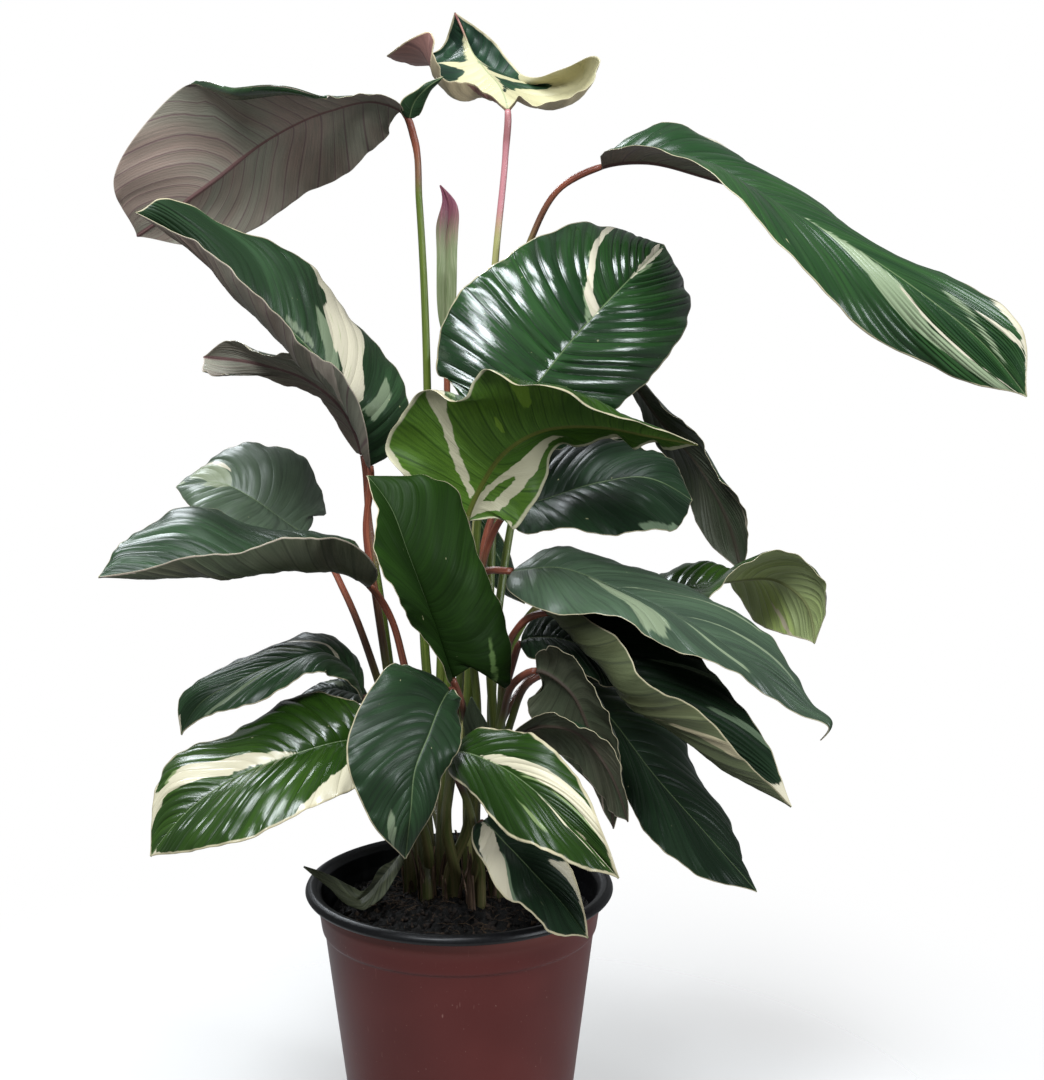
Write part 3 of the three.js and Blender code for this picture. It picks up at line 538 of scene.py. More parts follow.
# Each blade's upper and under looks, how far its side veins sweep towards the tip, and in
# millimetres the height of its pleats, the width of its cream margin and the length of the red
# stretch of its stem
LOOKS = {
    "top_left": ("deep", "purple", 0.9, 0.2, 0.25, 38),
    "left_trough": ("satin", "purple", 1.1, 0.5, 0.55, 110),
    "left_under": ("deep", "purple", 2.0, 0.6, 0.5, 60),
    # its upper look paints a satin sheen into lighter, greyer greens
    "left_mid_back": ("painted_sheen", "olive", 1.0, 0.3, 0.35, 90),
    "left_mid": ("satin", "olive", 1.6, 0.45, 0.55, 110),
    "left_low_back": ("satin", "olive", 1.8, 0.6, 0.5, 60),
    "left_small": ("satin", "olive", 1.2, 0.5, 0.4, 40),
    "left_front": ("bright", "olive", 1.3, 0.8, 1.2, 30),
    "hanging_front": ("satin", "olive", 1.0, 0.35, 0.65, 35),
    "front_tall": ("tall", "olive", 1.5, 0.2, 0.35, 30),
    "broad_backlit": ("bright", "backlit", 1.0, 0.35, 2.2, 30),
    "right_mid_dark": ("black", "olive", 0.9, 0.45, 0.4, 40),
    "glossy_upper": ("deep", "purple", 0.7, 1.25, 0.7, 40),
    "top_leaf": ("petal", "pink", 0.8, 0.45, 0.9, 60),
    "long_right": ("leather", "purple", 2.2, 0.8, 0.8, 60),
    "right_under": ("deep", "moss", 1.8, 0.6, 0.4, 60),
    "right_bright": ("bright", "lime", 1.2, 0.7, 0.7, 60),
    # its soft upper look paints a satin sheen into lighter, greyer greens
    "right_long_low": ("soft", "olive", 2.0, 0.6, 0.4, 30),
    "right_dark_long": ("black", "light", 2.0, 0.7, 0.45, 60),
    "right_small_dark": ("black", "olive", 1.5, 0.6, 0.35, 40),
    "right_hanging": ("black", "olive", 1.5, 0.6, 0.35, 30),
    "front_under_wide": ("black", "olive", 1.2, 0.22, 0.35, 40),
    "front_under_arch": ("black", "olive", 1.2, 0.22, 0.4, 40),
    "front_right": ("fresh", "olive", 2.0, 0.6, 1.4, 25),
    "front_low": ("black", "olive", 1.6, 0.35, 1.0, 20),
    "back_leaf": ("deep", "olive", 1.2, 0.7, 0.8, 50),
    "back_low_left": ("deep", "purple", 1.2, 0.7, 0.8, 60),
    "back_low_right": ("bright", "purple", 1.2, 0.8, 0.8, 70),
    "back_mid": ("deep", "purple", 1.1, 1.0, 0.8, 60),
    "side_leaflet": ("satin", "olive", 1.2, 0.4, 0.4, 10),
    "front_sheath": ("sheath", "sheath", 2.0, 0.3, 0.3, 10),
    "withered": ("withered", "withered", 1.2, 0.6, 0.3, 10),
    "rolled_spear": ("spear", "spear", 2.5, 0.3, 0.4, 60),
}

# Patches of colour in the blades: the kind and the corners of its outline. The first figure of a
# corner says how far along the midrib its vein leaves, the second how far out it lies, from 0 at
# the midrib to -1 at the left edge or 1 at the right. A green patch covers what lies before it.
PATCHES = {
    "left_trough": [
        ("cream", [
            (0.35, 1.1), (0.3, 0.8), (0.34, 0.55), (0.33, 0.36), (0.28, 0.15), (0.2, 0),
            (0.18, 0.15), (0.22, 0.45), (0.21, 0.9), (0.25, 1.1),
        ]),
        ("pale", [
            (0.37, 0.5), (0.38, 0.3), (0.33, 0.05), (0.27, -0.05), (0.3, 0.3), (0.32, 0.5),
        ]),
        ("pale", [(0.16, 0.1), (0.15, 0.7), (0.12, 0.7), (0.11, 0.2)]),
        ("pale", [(0.5, 0.08), (0.4, 0.12), (0.37, 0.03), (0.46, 0.03)]),
        ("cream", [(0.1, -0.5), (0.16, -0.7), (0.2, -1.1), (0.14, -1.1)]),
    ],
    "left_under": [("cream", [(0.2, -0.2), (0.3, -0.5), (0.36, -1.1), (0.32, -1.1)])],
    "left_mid_back": [
        ("pale", [
            (0.83, 0.35), (0.72, 0.75), (0.6, 0.85), (0.58, 0.5), (0.59, 0.1), (0.64, -0.2),
            (0.74, -0.25),
        ]),
        ("cream", [(0.6, 0.4), (0.57, 0.9), (0.55, 0.95), (0.55, 0.5), (0.57, 0.2)]),
        ("pale", [(0.9, 0.9), (0.84, 0.6), (0.9, 0.2), (0.96, 0.4)]),
    ],
    "left_mid": [
        ("cream", [(0.6, -0.93), (0.74, -0.86), (0.86, -0.8), (0.96, -1.1), (0.6, -1.1)]),
    ],
    "left_low_back": [
        ("cream", [(0.19, -0.3), (0.23, 0.25), (0.29, 0.75), (0.24, 0.6), (0.19, 0.2)]),
        ("pale", [(0.33, 0.1), (0.36, 0.6), (0.33, 0.8), (0.3, 0.3)]),
        ("cream", [(0.58, 1.1), (0.64, 0.8), (0.76, 0.7), (0.9, 0.5), (1, 1.1)]),
        ("cream", [(0.72, -0.93), (0.8, -0.9), (0.9, -1.1), (0.7, -1.1)]),
        ("pale", [(0.42, -0.3), (0.45, -0.9), (0.42, -0.95), (0.39, -0.4)]),
    ],
    "left_small": [("pale", [(0.3, 0.2), (0.4, 0.9), (0.5, 0.9), (0.4, 0.2)])],
    "left_front": [
        ("cream", [
            (0.36, 0), (0.44, 0.12), (0.52, 0.45), (0.53, 0.7), (0.48, 1.1), (0.72, 1.1),
            (0.73, 0.8),
            (0.68, 0.55), (0.64, 0.3), (0.6, 0.08), (0.48, 0),
        ]),
        ("green", [(0.52, 0.62), (0.6, 0.66), (0.58, 0.92), (0.5, 0.95)]),
        ("pale", [(0.4, 0.02), (0.5, 0.3), (0.55, 0.7), (0.6, 0.7), (0.56, 0.3), (0.46, 0.02)]),
        ("cream", [(0.07, -0.5), (0.13, -0.6), (0.2, -0.78), (0.25, -1.1), (0.08, -1.1)]),
        ("cream", [(0.74, -0.88), (0.84, -0.7), (0.92, -0.3), (0.95, -1.1), (0.7, -1.1)]),
    ],
    "hanging_front": [
        ("pale", [(0.58, 0.5), (0.69, 0.5), (0.72, 1.02), (0.64, 0.8)]),
    ],
    "front_tall": [
        ("pale", [
            (0.07, 0.84), (0.1, 0.66), (0.15, 0.63), (0.19, 0.7), (0.15, 0.72), (0.11, 0.75),
        ]),
    ],
    "broad_backlit": [
        ("cream", [
            (0.258, 1.1), (0.25, 0.8), (0.235, 0.58), (0.2, 0.36), (0.16, 0.2), (0.11, 0.03),
            (0.08, 0.06), (0.13, 0.22), (0.17, 0.38), (0.21, 0.6), (0.23, 1.1),
        ]),
        ("pale", [
            (0.275, 0.9), (0.266, 0.7), (0.25, 0.5), (0.24, 0.4), (0.25, 0.6), (0.262, 0.9),
        ]),
        ("cream", [(0.01, 0.8), (0.05, 0.84), (0.1, 0.92), (0.16, 1.1), (0.01, 1.1)]),
        ("pale", [
            (0.435, 0.85), (0.46, 0.6), (0.455, 0.34), (0.43, 0.3), (0.42, 0.5), (0.405, 0.85),
        ]),
        ("pale", [(0.335, 0.32), (0.35, 0.26), (0.345, 0.12), (0.325, 0.2)]),
        ("cream", [
            (0, 0), (0.08, -0.02), (0.15, -0.1), (0.24, -0.36), (0.31, -0.75), (0.24, -0.84),
            (0.13, -0.66), (0.03, -0.5),
        ]),
        ("green", [(0.08, -0.2), (0.15, -0.26), (0.21, -0.46), (0.19, -0.54), (0.11, -0.4)]),
    ],
    "right_mid_dark": [("pale", [(0.4, 0.92), (0.55, 0.9), (0.6, 1.1), (0.4, 1.1)])],
    "glossy_upper": [
        ("cream", [
            (0.66, -1.1), (0.7, -1.1), (0.665, -0.72), (0.635, -0.5), (0.615, -0.33),
            (0.585, -0.2),
            (0.575, 0), (0.53, 0), (0.55, -0.2), (0.59, -0.37), (0.61, -0.52), (0.635, -0.7),
        ]),
        ("pale", [
            (0.56, -0.27), (0.575, -0.36), (0.6, -0.52), (0.61, -0.52), (0.585, -0.36),
            (0.56, -0.2),
            (0.53, 0), (0.5, 0), (0.53, -0.12),
        ]),
        ("cream", [
            (0.95, -0.6), (0.97, 0.3), (0.9, 0.16), (0.84, 0.05), (0.76, 0.01), (0.84, -0.04),
            (0.9, -0.1),
        ]),
        ("pale", [(0.86, 0.15), (0.84, 0.06), (0.78, 0.02), (0.8, 0.14)]),
    ],
    "top_leaf": [
        ("cream", [
            (-0.05, 0.02), (0.5, 0.02), (0.58, -0.07), (0.6, -0.3), (0.6, -1.1), (-0.05, -1.1),
        ]),
        ("green", [
            (0.36, -1.1), (0.4, -0.6), (0.45, -0.28), (0.49, -0.16), (0.54, -0.16), (0.57, -0.3),
            (0.62, -1.1),
        ]),
        ("green", [(0.02, -0.7), (0.12, -0.75), (0.16, -1.1), (0.02, -1.1)]),
        ("cream", [(-0.05, 0), (0.45, 0), (0.42, 0.4), (0.48, 1.1), (-0.05, 1.1)]),
        ("green", [
            (0.16, 0.03), (0.4, 0.05), (0.44, 0.3), (0.45, 0.62), (0.42, 0.5), (0.37, 0.2),
        ]),
        ("cream", [
            (0.4, 0.03), (0.45, 0.4), (0.47, 0.8), (0.48, 0.8), (0.47, 0.3), (0.44, 0.02),
        ]),
        ("cream", [
            (0.55, -0.07), (0.8, -0.05), (0.93, -0.02), (0.93, 0.03), (0.8, 0.03), (0.55, 0.02),
        ]),
        ("pale", [
            (0.5, -0.11), (0.6, -0.08), (0.8, -0.07), (0.8, 0.08), (0.6, 0.08), (0.5, 0.08),
        ]),
    ],
    "long_right": [
        ("pale", [
            (0.44, 0), (0.56, 0), (0.62, 0.05), (0.64, 0.1), (0.6, 0.24), (0.57, 0.41),
            (0.59, 0.5),
            (0.62, 0.59), (0.66, 0.7), (0.64, 1.1), (0.54, 1.1), (0.52, 0.8), (0.49, 0.64),
            (0.46, 0.56), (0.44, 0.44), (0.47, 0.31), (0.46, 0.17),
        ]),
        ("cream", [
            (0.63, 0.12), (0.61, 0.35), (0.62, 0.5), (0.67, 0.62), (0.73, 0.8), (0.74, 1.1),
            (0.71, 1.1), (0.69, 0.8), (0.64, 0.62), (0.595, 0.5), (0.59, 0.35), (0.61, 0.15),
        ]),
        ("cream", [
            (0.4, -0.95), (0.45, -0.82), (0.52, -0.9), (0.65, -0.93), (0.8, -0.9), (0.9, -1.1),
            (0.4, -1.1),
        ]),
        ("pale", [
            (0.6, -0.37), (0.7, -0.29), (0.78, -0.23), (0.9, -0.14), (0.9, -0.08), (0.8, -0.16),
            (0.7, -0.23), (0.6, -0.32),
        ]),
        ("cream", [(0.61, -0.44), (0.57, -0.61), (0.54, -0.86), (0.57, -0.86), (0.62, -0.54)]),
        ("cream", [(0.07, -0.93), (0.1, -0.9), (0.12, -1.1), (0.07, -1.1)]),
    ],
    "right_under": [("cream", [(0.3, 0.3), (0.36, 0.6), (0.42, 1.1), (0.38, 1.1), (0.33, 0.7)])],
    "right_bright": [
        ("cream", [(0.5, -0.5), (0.56, -0.7), (0.62, -1.1), (0.58, -1.1), (0.53, -0.8)]),
        ("pale", [(0.3, 0.2), (0.36, 0.6), (0.4, 1.1), (0.45, 1.1), (0.4, 0.5)]),
    ],
    "right_long_low": [
        ("pale", [
            (0.22, 0.02), (0.25, 0.3), (0.27, 0.6), (0.22, 0.9), (0.17, 0.9), (0.19, 0.6),
            (0.2, 0.3),
        ]),
        ("pale", [(0.36, 0), (0.4, 0.3), (0.42, 0.75), (0.4, 0.75), (0.38, 0.3)]),
        ("pale", [(0.3, 0), (0.33, -0.4), (0.35, -0.9), (0.34, -0.9), (0.31, -0.4)]),
        ("pale", [(0.48, 0), (0.51, -0.4), (0.54, -0.8), (0.53, -0.8), (0.49, -0.4)]),
    ],
    "right_dark_long": [
        ("pale", [
            (0.42, -0.45), (0.4, -0.7), (0.39, -1.1), (0.35, -1.1), (0.36, -0.8), (0.39, -0.5),
        ]),
        ("pale", [(0.26, -0.3), (0.25, -0.7), (0.24, -1.1), (0.23, -1.1), (0.24, -0.5)]),
        ("cream", [
            (0.52, -0.95), (0.6, -0.8), (0.72, -0.5), (0.8, 0.1), (1, 0.6), (1, -1.1),
            (0.5, -1.1),
        ]),
        ("cream", [(0.3, 0.5), (0.36, 0.8), (0.4, 1.1), (0.34, 1.1)]),
    ],
    "right_small_dark": [("pale", [(0.2, -0.3), (0.24, -0.8), (0.3, -1.1), (0.26, -1.1)])],
    "right_hanging": [("pale", [(0.3, -0.9), (0.5, -0.94), (0.5, -1.1), (0.3, -1.1)])],
    "front_under_wide": [("cream", [(0.55, -0.7), (0.6, -1.1), (0.66, -1.1), (0.6, -0.7)])],
    "front_right": [
        ("cream", [
            (0.2, -0.02), (0.24, -0.12), (0.27, -0.3), (0.3, -0.52), (0.34, -0.78), (0.37, -1.1),
            (0.58, -1.1), (0.5, -0.76), (0.47, -0.52), (0.45, -0.3), (0.39, -0.14), (0.31, 0),
        ]),
        ("pale", [
            (0.39, -0.14), (0.45, -0.3), (0.47, -0.5), (0.5, -0.7), (0.51, -0.6), (0.49, -0.3),
            (0.43, -0.1),
        ]),
        ("pale", [(0.3, 0.44), (0.33, 0.55), (0.35, 0.7), (0.33, 0.7), (0.31, 0.6)]),
        ("cream", [
            (0.54, 0.02), (0.6, 0.1), (0.66, 0.32), (0.7, 0.6), (0.66, 0.45), (0.58, 0.22),
        ]),
        ("cream", [(0.74, -0.16), (0.84, 0.02), (0.9, 0.5), (0.84, 0.4), (0.76, 0.02)]),
    ],
    "front_low": [
        ("cream", [
            (0.02, 0.1), (0.12, 0.02), (0.2, 0.35), (0.24, 0.62), (0.26, 0.88), (0.27, 1.1),
            (0.2, 1.1),
            (0.14, 0.95), (0.08, 0.8),
        ]),
        ("pale", [(0.22, 0.4), (0.27, 0.65), (0.29, 1.1), (0.27, 1.1), (0.24, 0.62)]),
        ("cream", [
            (0.3, -0.62), (0.28, -0.8), (0.24, -1.1), (0.5, -1.1), (0.47, -0.9), (0.41, -0.82),
            (0.37, -0.66), (0.34, -0.55),
        ]),
    ],
    "back_leaf": [("cream", [(0.3, 0.05), (0.34, 0.5), (0.38, 1.1), (0.3, 1.1), (0.27, 0.5)])],
    "back_low_left": [
        ("cream", [(0.3, -0.02), (0.33, -0.5), (0.38, -1.1), (0.3, -1.1), (0.26, -0.4)]),
        ("pale", [(0.5, 0.1), (0.54, 0.6), (0.58, 1.1), (0.54, 1.1), (0.5, 0.6)]),
    ],
    "back_low_right": [
        ("cream", [(0.4, 0.02), (0.44, 0.5), (0.5, 1.1), (0.4, 1.1), (0.36, 0.4)]),
        ("pale", [(0.2, -0.1), (0.24, -0.6), (0.3, -1.1), (0.24, -1.1), (0.2, -0.5)]),
    ],
    "back_mid": [
        ("cream", [(0.5, -0.02), (0.54, -0.4), (0.62, -1.1), (0.54, -1.1), (0.47, -0.3)]),
        ("pale", [(0.3, 0.1), (0.34, 0.5), (0.4, 1.1), (0.34, 1.1), (0.3, 0.5)]),
    ],
}


# Curves and the blades' surface

def curve_at(knots, points):
    """A smooth curve through points at given knots."""
    steps = np.diff(points, axis=0) / np.diff(knots)[:, None]
    slopes = np.empty_like(points)
    before = np.diff(knots)[:-1, None]
    after = np.diff(knots)[1:, None]
    slopes[1:-1] = (steps[:-1] * after + steps[1:] * before) / (before + after)
    slopes[0] = 1.5 * steps[0] - 0.5 * slopes[1]
    slopes[-1] = 1.5 * steps[-1] - 0.5 * slopes[-2]
    return knots, points, slopes


def curve_through(points):
    """A smooth curve through points, by the straight distance between them."""
    points = np.array(points, float)
    gaps = np.linalg.norm(np.diff(points, axis=0), axis=1)
    return curve_at(np.concatenate([[0], np.cumsum(gaps)]), points)


def point_on(curve, places):
    knots, points, slopes = curve
    places = np.asarray(places, float)
    i = np.clip(np.searchsorted(knots, places, side="left") - 1, 0, len(knots) - 2)
    span = (knots[i + 1] - knots[i])[..., None]
    s = ((places - knots[i])[..., None]) / span
    return (
        points[i] * (1 + 2 * s) * (1 - s) ** 2
        + slopes[i] * span * s * (1 - s) ** 2
        + points[i + 1] * s * s * (3 - 2 * s)
        + slopes[i + 1] * span * s * s * (s - 1)
    )


def smoothstep(value, low, high):
    t = np.clip((value - low) / (high - low), 0, 1)
    return t * t * (3 - 2 * t)


def unit(vectors):
    return vectors / np.maximum(np.linalg.norm(vectors, axis=-1, keepdims=True), 1e-9)


def fullness(u):
    """How wide a blade is along its midrib, against its widest place."""
    return np.sqrt(u) * (1 - u ** OUTLINE_POWER) ** OUTLINE_FULLNESS / OUTLINE_WIDEST


def reach_curve(offsets):
    stations = (np.arange(len(offsets)) + 1) / (len(offsets) + 1)
    reaches = np.array(offsets, float) / fullness(stations)[:, None]
    knots = np.concatenate([[0], stations, [1]])
    return curve_at(knots, np.vstack([reaches[:1], reaches, reaches[-1:]]))


def stem_foot(name):
    """The first points of a leaf's stem, side by side with the others of its clump."""
    clump = LEAVES[name]["clump"]
    x, y = CLUMPS[clump]
    of_clump = [other for other in LEAVES if LEAVES[other]["clump"] == clump]
    turn = STEM_TURN * of_clump.index(name)
    foot = (x + STEM_SPREAD * math.cos(turn), y + STEM_SPREAD * math.sin(turn))
    return [(*foot, STEM_START), (*foot, STEM_CLEAR)]


def leaf_line(name):
    """Stem and midrib in one curve, with the places where the blade begins and ends."""
    leaf = LEAVES[name]
    stem = stem_foot(name) + leaf["stem"] if leaf["stem"] else []
    curve = curve_through(stem + leaf["rib"])
    return curve, curve[0][len(stem)], curve[0][-1]


def half_sheet(name, side, u, out):
    """Points of one half of a blade's middle sheet, and how far they lie from the midrib."""
    leaf = LEAVES[name]
    curve, start, end = leaf_line(name)
    place = start + u * (end - start)
    rib = point_on(curve, place)
    ahead = point_on(curve, place + DIRECTION_STEP)
    along = unit(ahead - point_on(curve, place - DIRECTION_STEP))
    reach = point_on(reach_curve(leaf["right" if side else "left"]), u)
    wide = fullness(u)[..., None]
    least = (BASE_HALF_WIDTH + (TIP_HALF_WIDTH - BASE_HALF_WIDTH) * u)[..., None]
    lean = np.sum(reach * along, axis=-1, keepdims=True)
    square = unit(reach - along * lean)
    settled = smoothstep(u, 0, BASE_TURN)[..., None]
    offset = (reach - along * lean * (1 - settled)) * wide + square * least
    up = unit(np.cross(offset, along) if side else np.cross(along, offset))
    width = np.linalg.norm(offset, axis=-1)
    height, count, begin = leaf.get("wave", USUAL_WAVE)
    ripple = height * np.sin(2 * np.pi * (count * u + begin + side * EDGE_SHIFT))
    rise = leaf.get("cup", USUAL_CUP)[side] * width * 4 * out * (1 - out)
    rise = rise + ripple * out * out * np.minimum(1, 1.5 * wide[..., 0])
    return rib + offset * out[..., None] + up * rise[..., None], width * out, width


# Mesh helpers

def add_mesh(name, points, faces, materials, face_materials=None, attributes=None):
    """An object at the origin from points in millimetres."""
    mesh = bpy.data.meshes.new(name)
    mesh.from_pydata((np.asarray(points) * MM).tolist(), [], [tuple(face) for face in faces])
    for material in materials:
        mesh.materials.append(material)
    if face_materials is not None:
        mesh.polygons.foreach_set("material_index", np.asarray(face_materials, np.int32))
    for key, values in (attributes or {}).items():
        values = np.asarray(values, np.float32)
        kind, field = ("FLOAT_VECTOR", "vector") if values.ndim == 2 else ("FLOAT", "value")
        layer = mesh.attributes.new(key, kind, "POINT")
        layer.data.foreach_set(field, values.ravel())
    mesh.polygons.foreach_set("use_smooth", [True] * len(mesh.polygons))
    mesh.update()
    piece = bpy.data.objects.new(name, mesh)
    bpy.context.collection.objects.link(piece)
    return piece


def stand_for(piece, slot, *nodes):
    """The piece rides with the plant and takes the place of these nodes."""
    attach(piece, "root")
    if nodes:
        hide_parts(*nodes)


def grid_faces(rows, columns, start=0, flip=False):
    i, j = np.meshgrid(np.arange(rows - 1), np.arange(columns - 1), indexing="ij")
    a = (start + i * columns + j).ravel()
    corners = [a, a + 1, a + columns + 1, a + columns]
    return np.stack(corners[::-1] if flip else corners, axis=1)


def rim_faces(index, below):
    """Faces that close a sheet round its border, from its upper to its lower points."""
    border = np.concatenate([index[0, :-1], index[:-1, -1], index[-1, :0:-1], index[:0:-1, 0]])
    after = np.roll(border, -1)
    return np.stack([border, border + below, after + below, after], axis=1)


def sheet_faces(rows, columns):
    """Faces of a thin closed sheet: its upper side, its under side and its rim."""
    total = rows * columns
    return np.concatenate([
        grid_faces(rows, columns),
        grid_faces(rows, columns, total, True),
        rim_faces(np.arange(total).reshape(rows, columns), total),
    ])


def joined(parts):
    """Points, faces and fields of several parts as one."""
    points = []
    faces = []
    base = 0
    for part_points, part_faces, _ in parts:
        points.append(part_points)
        faces.extend(tuple(base + i for i in face) for face in part_faces)
        base += len(part_points)
    fields = {key: np.concatenate([part[2][key] for part in parts]) for key in parts[0][2]}
    return np.concatenate(points), faces, fields


def tube(points, radii, sides):
    """A round bar through points with closed ends: its points and faces."""
    points = np.asarray(points, float)
    along = unit(np.gradient(points, axis=0))
    side = np.array([1.0, 0, 0])
    rings = []
    turns = 2 * np.pi * np.arange(sides) / sides
    for point, ahead, radius in zip(points, along, radii):
        side = unit(side - ahead * np.dot(side, ahead))
        other = np.cross(ahead, side)
        circle = np.cos(turns)[:, None] * side + np.sin(turns)[:, None] * other
        rings.append(point + radius * circle)
    count = len(points)
    faces = []
    for i in range(count - 1):
        for k in range(sides):
            a = i * sides + k
            b = i * sides + (k + 1) % sides
            faces.append((a, b, b + sides, a + sides))
    faces.append(tuple(range(sides))[::-1])
    faces.append(tuple(range((count - 1) * sides, count * sides)))
    return np.concatenate(rings), faces


# Materials

# How noise is stretched over each piece: cycles in a millimetre across and along its streaks
STRETCHES = {
    "coarse_edge": (0.3, 0.05), "fine_edge": (1.2, 0.15), "margin": (0.12, 0.0),
    "streaks": (1.3, 0.06), "upper_tones": (0.05, 0.016), "under_tones": (0.03, 0.012),
    "specks": (0.45, 0.45), "upper_grain": (3.2, 0.5), "under_grain": (3.0, 0.6),
    "dry_streaks": (0.9, 0.05), "dry_blotches": (0.12, 0.08), "spear_streaks": (0.1, 1.6),
    "stem_streaks": (1.2, 0.03),
}

# Ground, lighter part and grains of each kind of soil
SOILS = {
    "potting_mix": ("#040403", "#0a0806", "#1f1812"),
    "peat_crumb": ("#15110e", "#231a14", "#3c2f24"),
    "bark_crumb": ("#2b2018", "#3d3024", "#584938"),
    "fibre": ("#35291f", "#4d3d2c", "#66543f"),
}

# Ground, streaks and creases of the dry leaves
DRY_LEAVES = {
    "sheath": ("#39452f", "#47523c", "#28301f"),
    "withered": ("#454a35", "#5c6147", "#23261b"),
}

# Pairs of colours that streaks of the young leaf and the stems run between
SPEAR_GREEN = ("#6f7a55", "#838a68")
SPEAR_WINE = ("#5c2c3c", "#7a4a52")
STEM_GREEN = ("#4a5d20", "#5f6b2c")
STEM_FOOT = ("#454a28", "#5a5336")
STEM_RED = ("#7a3d2e", "#96573f")
STEM_BROWN = ("#614030", "#785840")
STEM_PAPERY = ("#47362a", "#7c6550")

# Single colours
# Painted shade for the sunken side veins inside cream patches
CREASE_SHADE_IN_CREAM = "#948a6e"
SPECK_COLOUR = "#a5a07c"
MARGIN_COLOUR = "#9f967b"
MIDRIB_COLOUR = "#647350"
# Painted light shining through the pale patches of a backlit blade
LIT_LIME = "#6a8a2c"
PALE_STEM_GREEN = "#8d8a58"
PALE_STEM_RED = "#a87074"
SHADED_STEM_RED = "#35261e"
STEM_JOINT = "#5d3527"
POT_RED = ("#4a1d1a", "#542421")
POT_BLACK = ("#09090a", "#131315")
POT_SPECK = "#94756b"
POT_SCRATCH = "#8a655c"
POT_DUST = "#7a5048"
FLOOR_GREY = ("#c9c9c8", "#cececd")


def linear(text):
    """A colour written as hex, as the light values the shaders use."""
    values = [int(text[i:i + 2], 16) / 255 for i in (1, 3, 5)]
    return (*[v / 12.92 if v <= 0.04045 else ((v + 0.055) / 1.055) ** 2.4 for v in values], 1)


class Shader:
    """A material and short ways of adding nodes to it."""

    def __init__(self, name):
        self.material = bpy.data.materials.new(name)
        self.material.use_nodes = True
        self.tree = self.material.node_tree
        self.surface = self.tree.nodes["Principled BSDF"]

    def put(self, socket, value):
        if isinstance(value, bpy.types.NodeSocket):
            self.tree.links.new(value, socket)
        elif isinstance(value, str):
            socket.default_value = linear(value)
        else:
            socket.default_value = value

    def node(self, kind, inputs=None, **settings):
        made = self.tree.nodes.new(kind)
        for key, value in settings.items():
            setattr(made, key, value)
        for key, value in (inputs or {}).items():
            self.put(made.inputs[key], value)
        return made

    def field(self, name):
        return self.node("ShaderNodeAttribute", attribute_name=name).outputs["Fac"]

    def stretched(self, place, by):
        made = self.node("ShaderNodeVectorMath", {0: place, 1: by}, operation="MULTIPLY")
        return made.outputs[0]

    def object_place(self):
        return self.node("ShaderNodeTexCoord").outputs["Object"]

    def noise(self, place, scale=1.0, detail=3, rough=0.55):
        made = self.node(
            "ShaderNodeTexNoise",
            {"Vector": place, "Scale": scale, "Detail": detail, "Roughness": rough},
        )
        return made.outputs["Fac"]

    def grain(self, name, detail, rough=0.55):
        """Noise that runs along a blade's side veins or a stem, apart for each piece."""
        read = self.node("ShaderNodeAttribute", attribute_name="place").outputs["Vector"]
        return self.noise(self.stretched(read, (*STRETCHES[name], 1)), 1.0, detail, rough)

    def maths(self, operation, first, second=0.0, third=0.0):
        made = self.node("ShaderNodeMath", {0: first, 1: second, 2: third}, operation=operation)
        return made.outputs[0]

    def times(self, first, second):
        return self.maths("MULTIPLY", first, second)

    def ramp(self, value, low, high, start=0.0, end=1.0):
        """Start below the low value and end above the high one, eased between."""
        made = self.node(
            "ShaderNodeMapRange",
            {"Value": value, "From Min": low, "From Max": high, "To Min": start, "To Max": end},
            interpolation_type="SMOOTHSTEP",
        )
        return made.outputs[0]

    def mix(self, amount, first, second):
        made = self.node("ShaderNodeMix", data_type="RGBA")
        self.put(made.inputs[0], amount)
        self.put(made.inputs[6], first)
        self.put(made.inputs[7], second)
        return made.outputs[2]

    def bump(self, height, distance, strength=1.0):
        made = self.node(
            "ShaderNodeBump", {"Height": height, "Distance": distance, "Strength": strength},
        )
        return made.outputs["Normal"]

    def finish(self, colour, rough, **others):
        self.put(self.surface.inputs["Base Color"], colour)
        self.put(self.surface.inputs["Roughness"], rough)
        for key, value in others.items():
            self.put(self.surface.inputs[key.replace("_", " ")], value)
        return self.material


# Light, middle and dark green of each upper look, its pale patch, its cream and the cream's
# greenish streaks, and the roughness of its glossiest and its dullest streaks. The dark green is
# also painted shade in the creases, and the two grey-green looks after satin are lightened as a
# painted satin sheen
UPPERS = {
    "deep": ("#203b1c", "#152c15", "#0b190b", "#69775a", "#aaa390", "#848c69", 0.1, 0.28),
    "satin": ("#2a4028", "#1d2e1c", "#10190f", "#646f58", "#a69f8b", "#7f8664", 0.26, 0.44),
    # painted sheen: greyer, lighter greens stand in for a satin sheen
    "painted_sheen": ("#455340", "#3b4738", "#2a3428", "#737a62", "#a69f8b", "#7f8664", 0.32, 0.48),
    # painted sheen: greyer, lighter greens stand in for a satin sheen
    "soft": ("#3a4b38", "#2d3b2d", "#1c271c", "#69735b", "#a69f8b", "#7f8664", 0.3, 0.46),
    "leather": ("#24411f", "#193219", "#0e1d0e", "#7a866a", "#aaa390", "#848c69", 0.2, 0.38),
    "fresh": ("#233b11", "#182c0b", "#0d1a06", "#69774e", "#aaa38c", "#858c62", 0.24, 0.42),
    "bright": ("#284012", "#1c320c", "#0f1e07", "#6c7950", "#aaa38c", "#858c62", 0.14, 0.3),
    "tall": ("#1b300d", "#15270a", "#0e1c06", "#4c6136", "#958f74", "#7f8664", 0.42, 0.56),
    "black": ("#1c2c1c", "#132014", "#0b130b", "#56644f", "#a39c88", "#7b8263", 0.28, 0.46),
    "petal": ("#1f3824", "#14241b", "#0c1612", "#7a7a5f", "#9c9676", "#8c8c69", 0.34, 0.5),
}

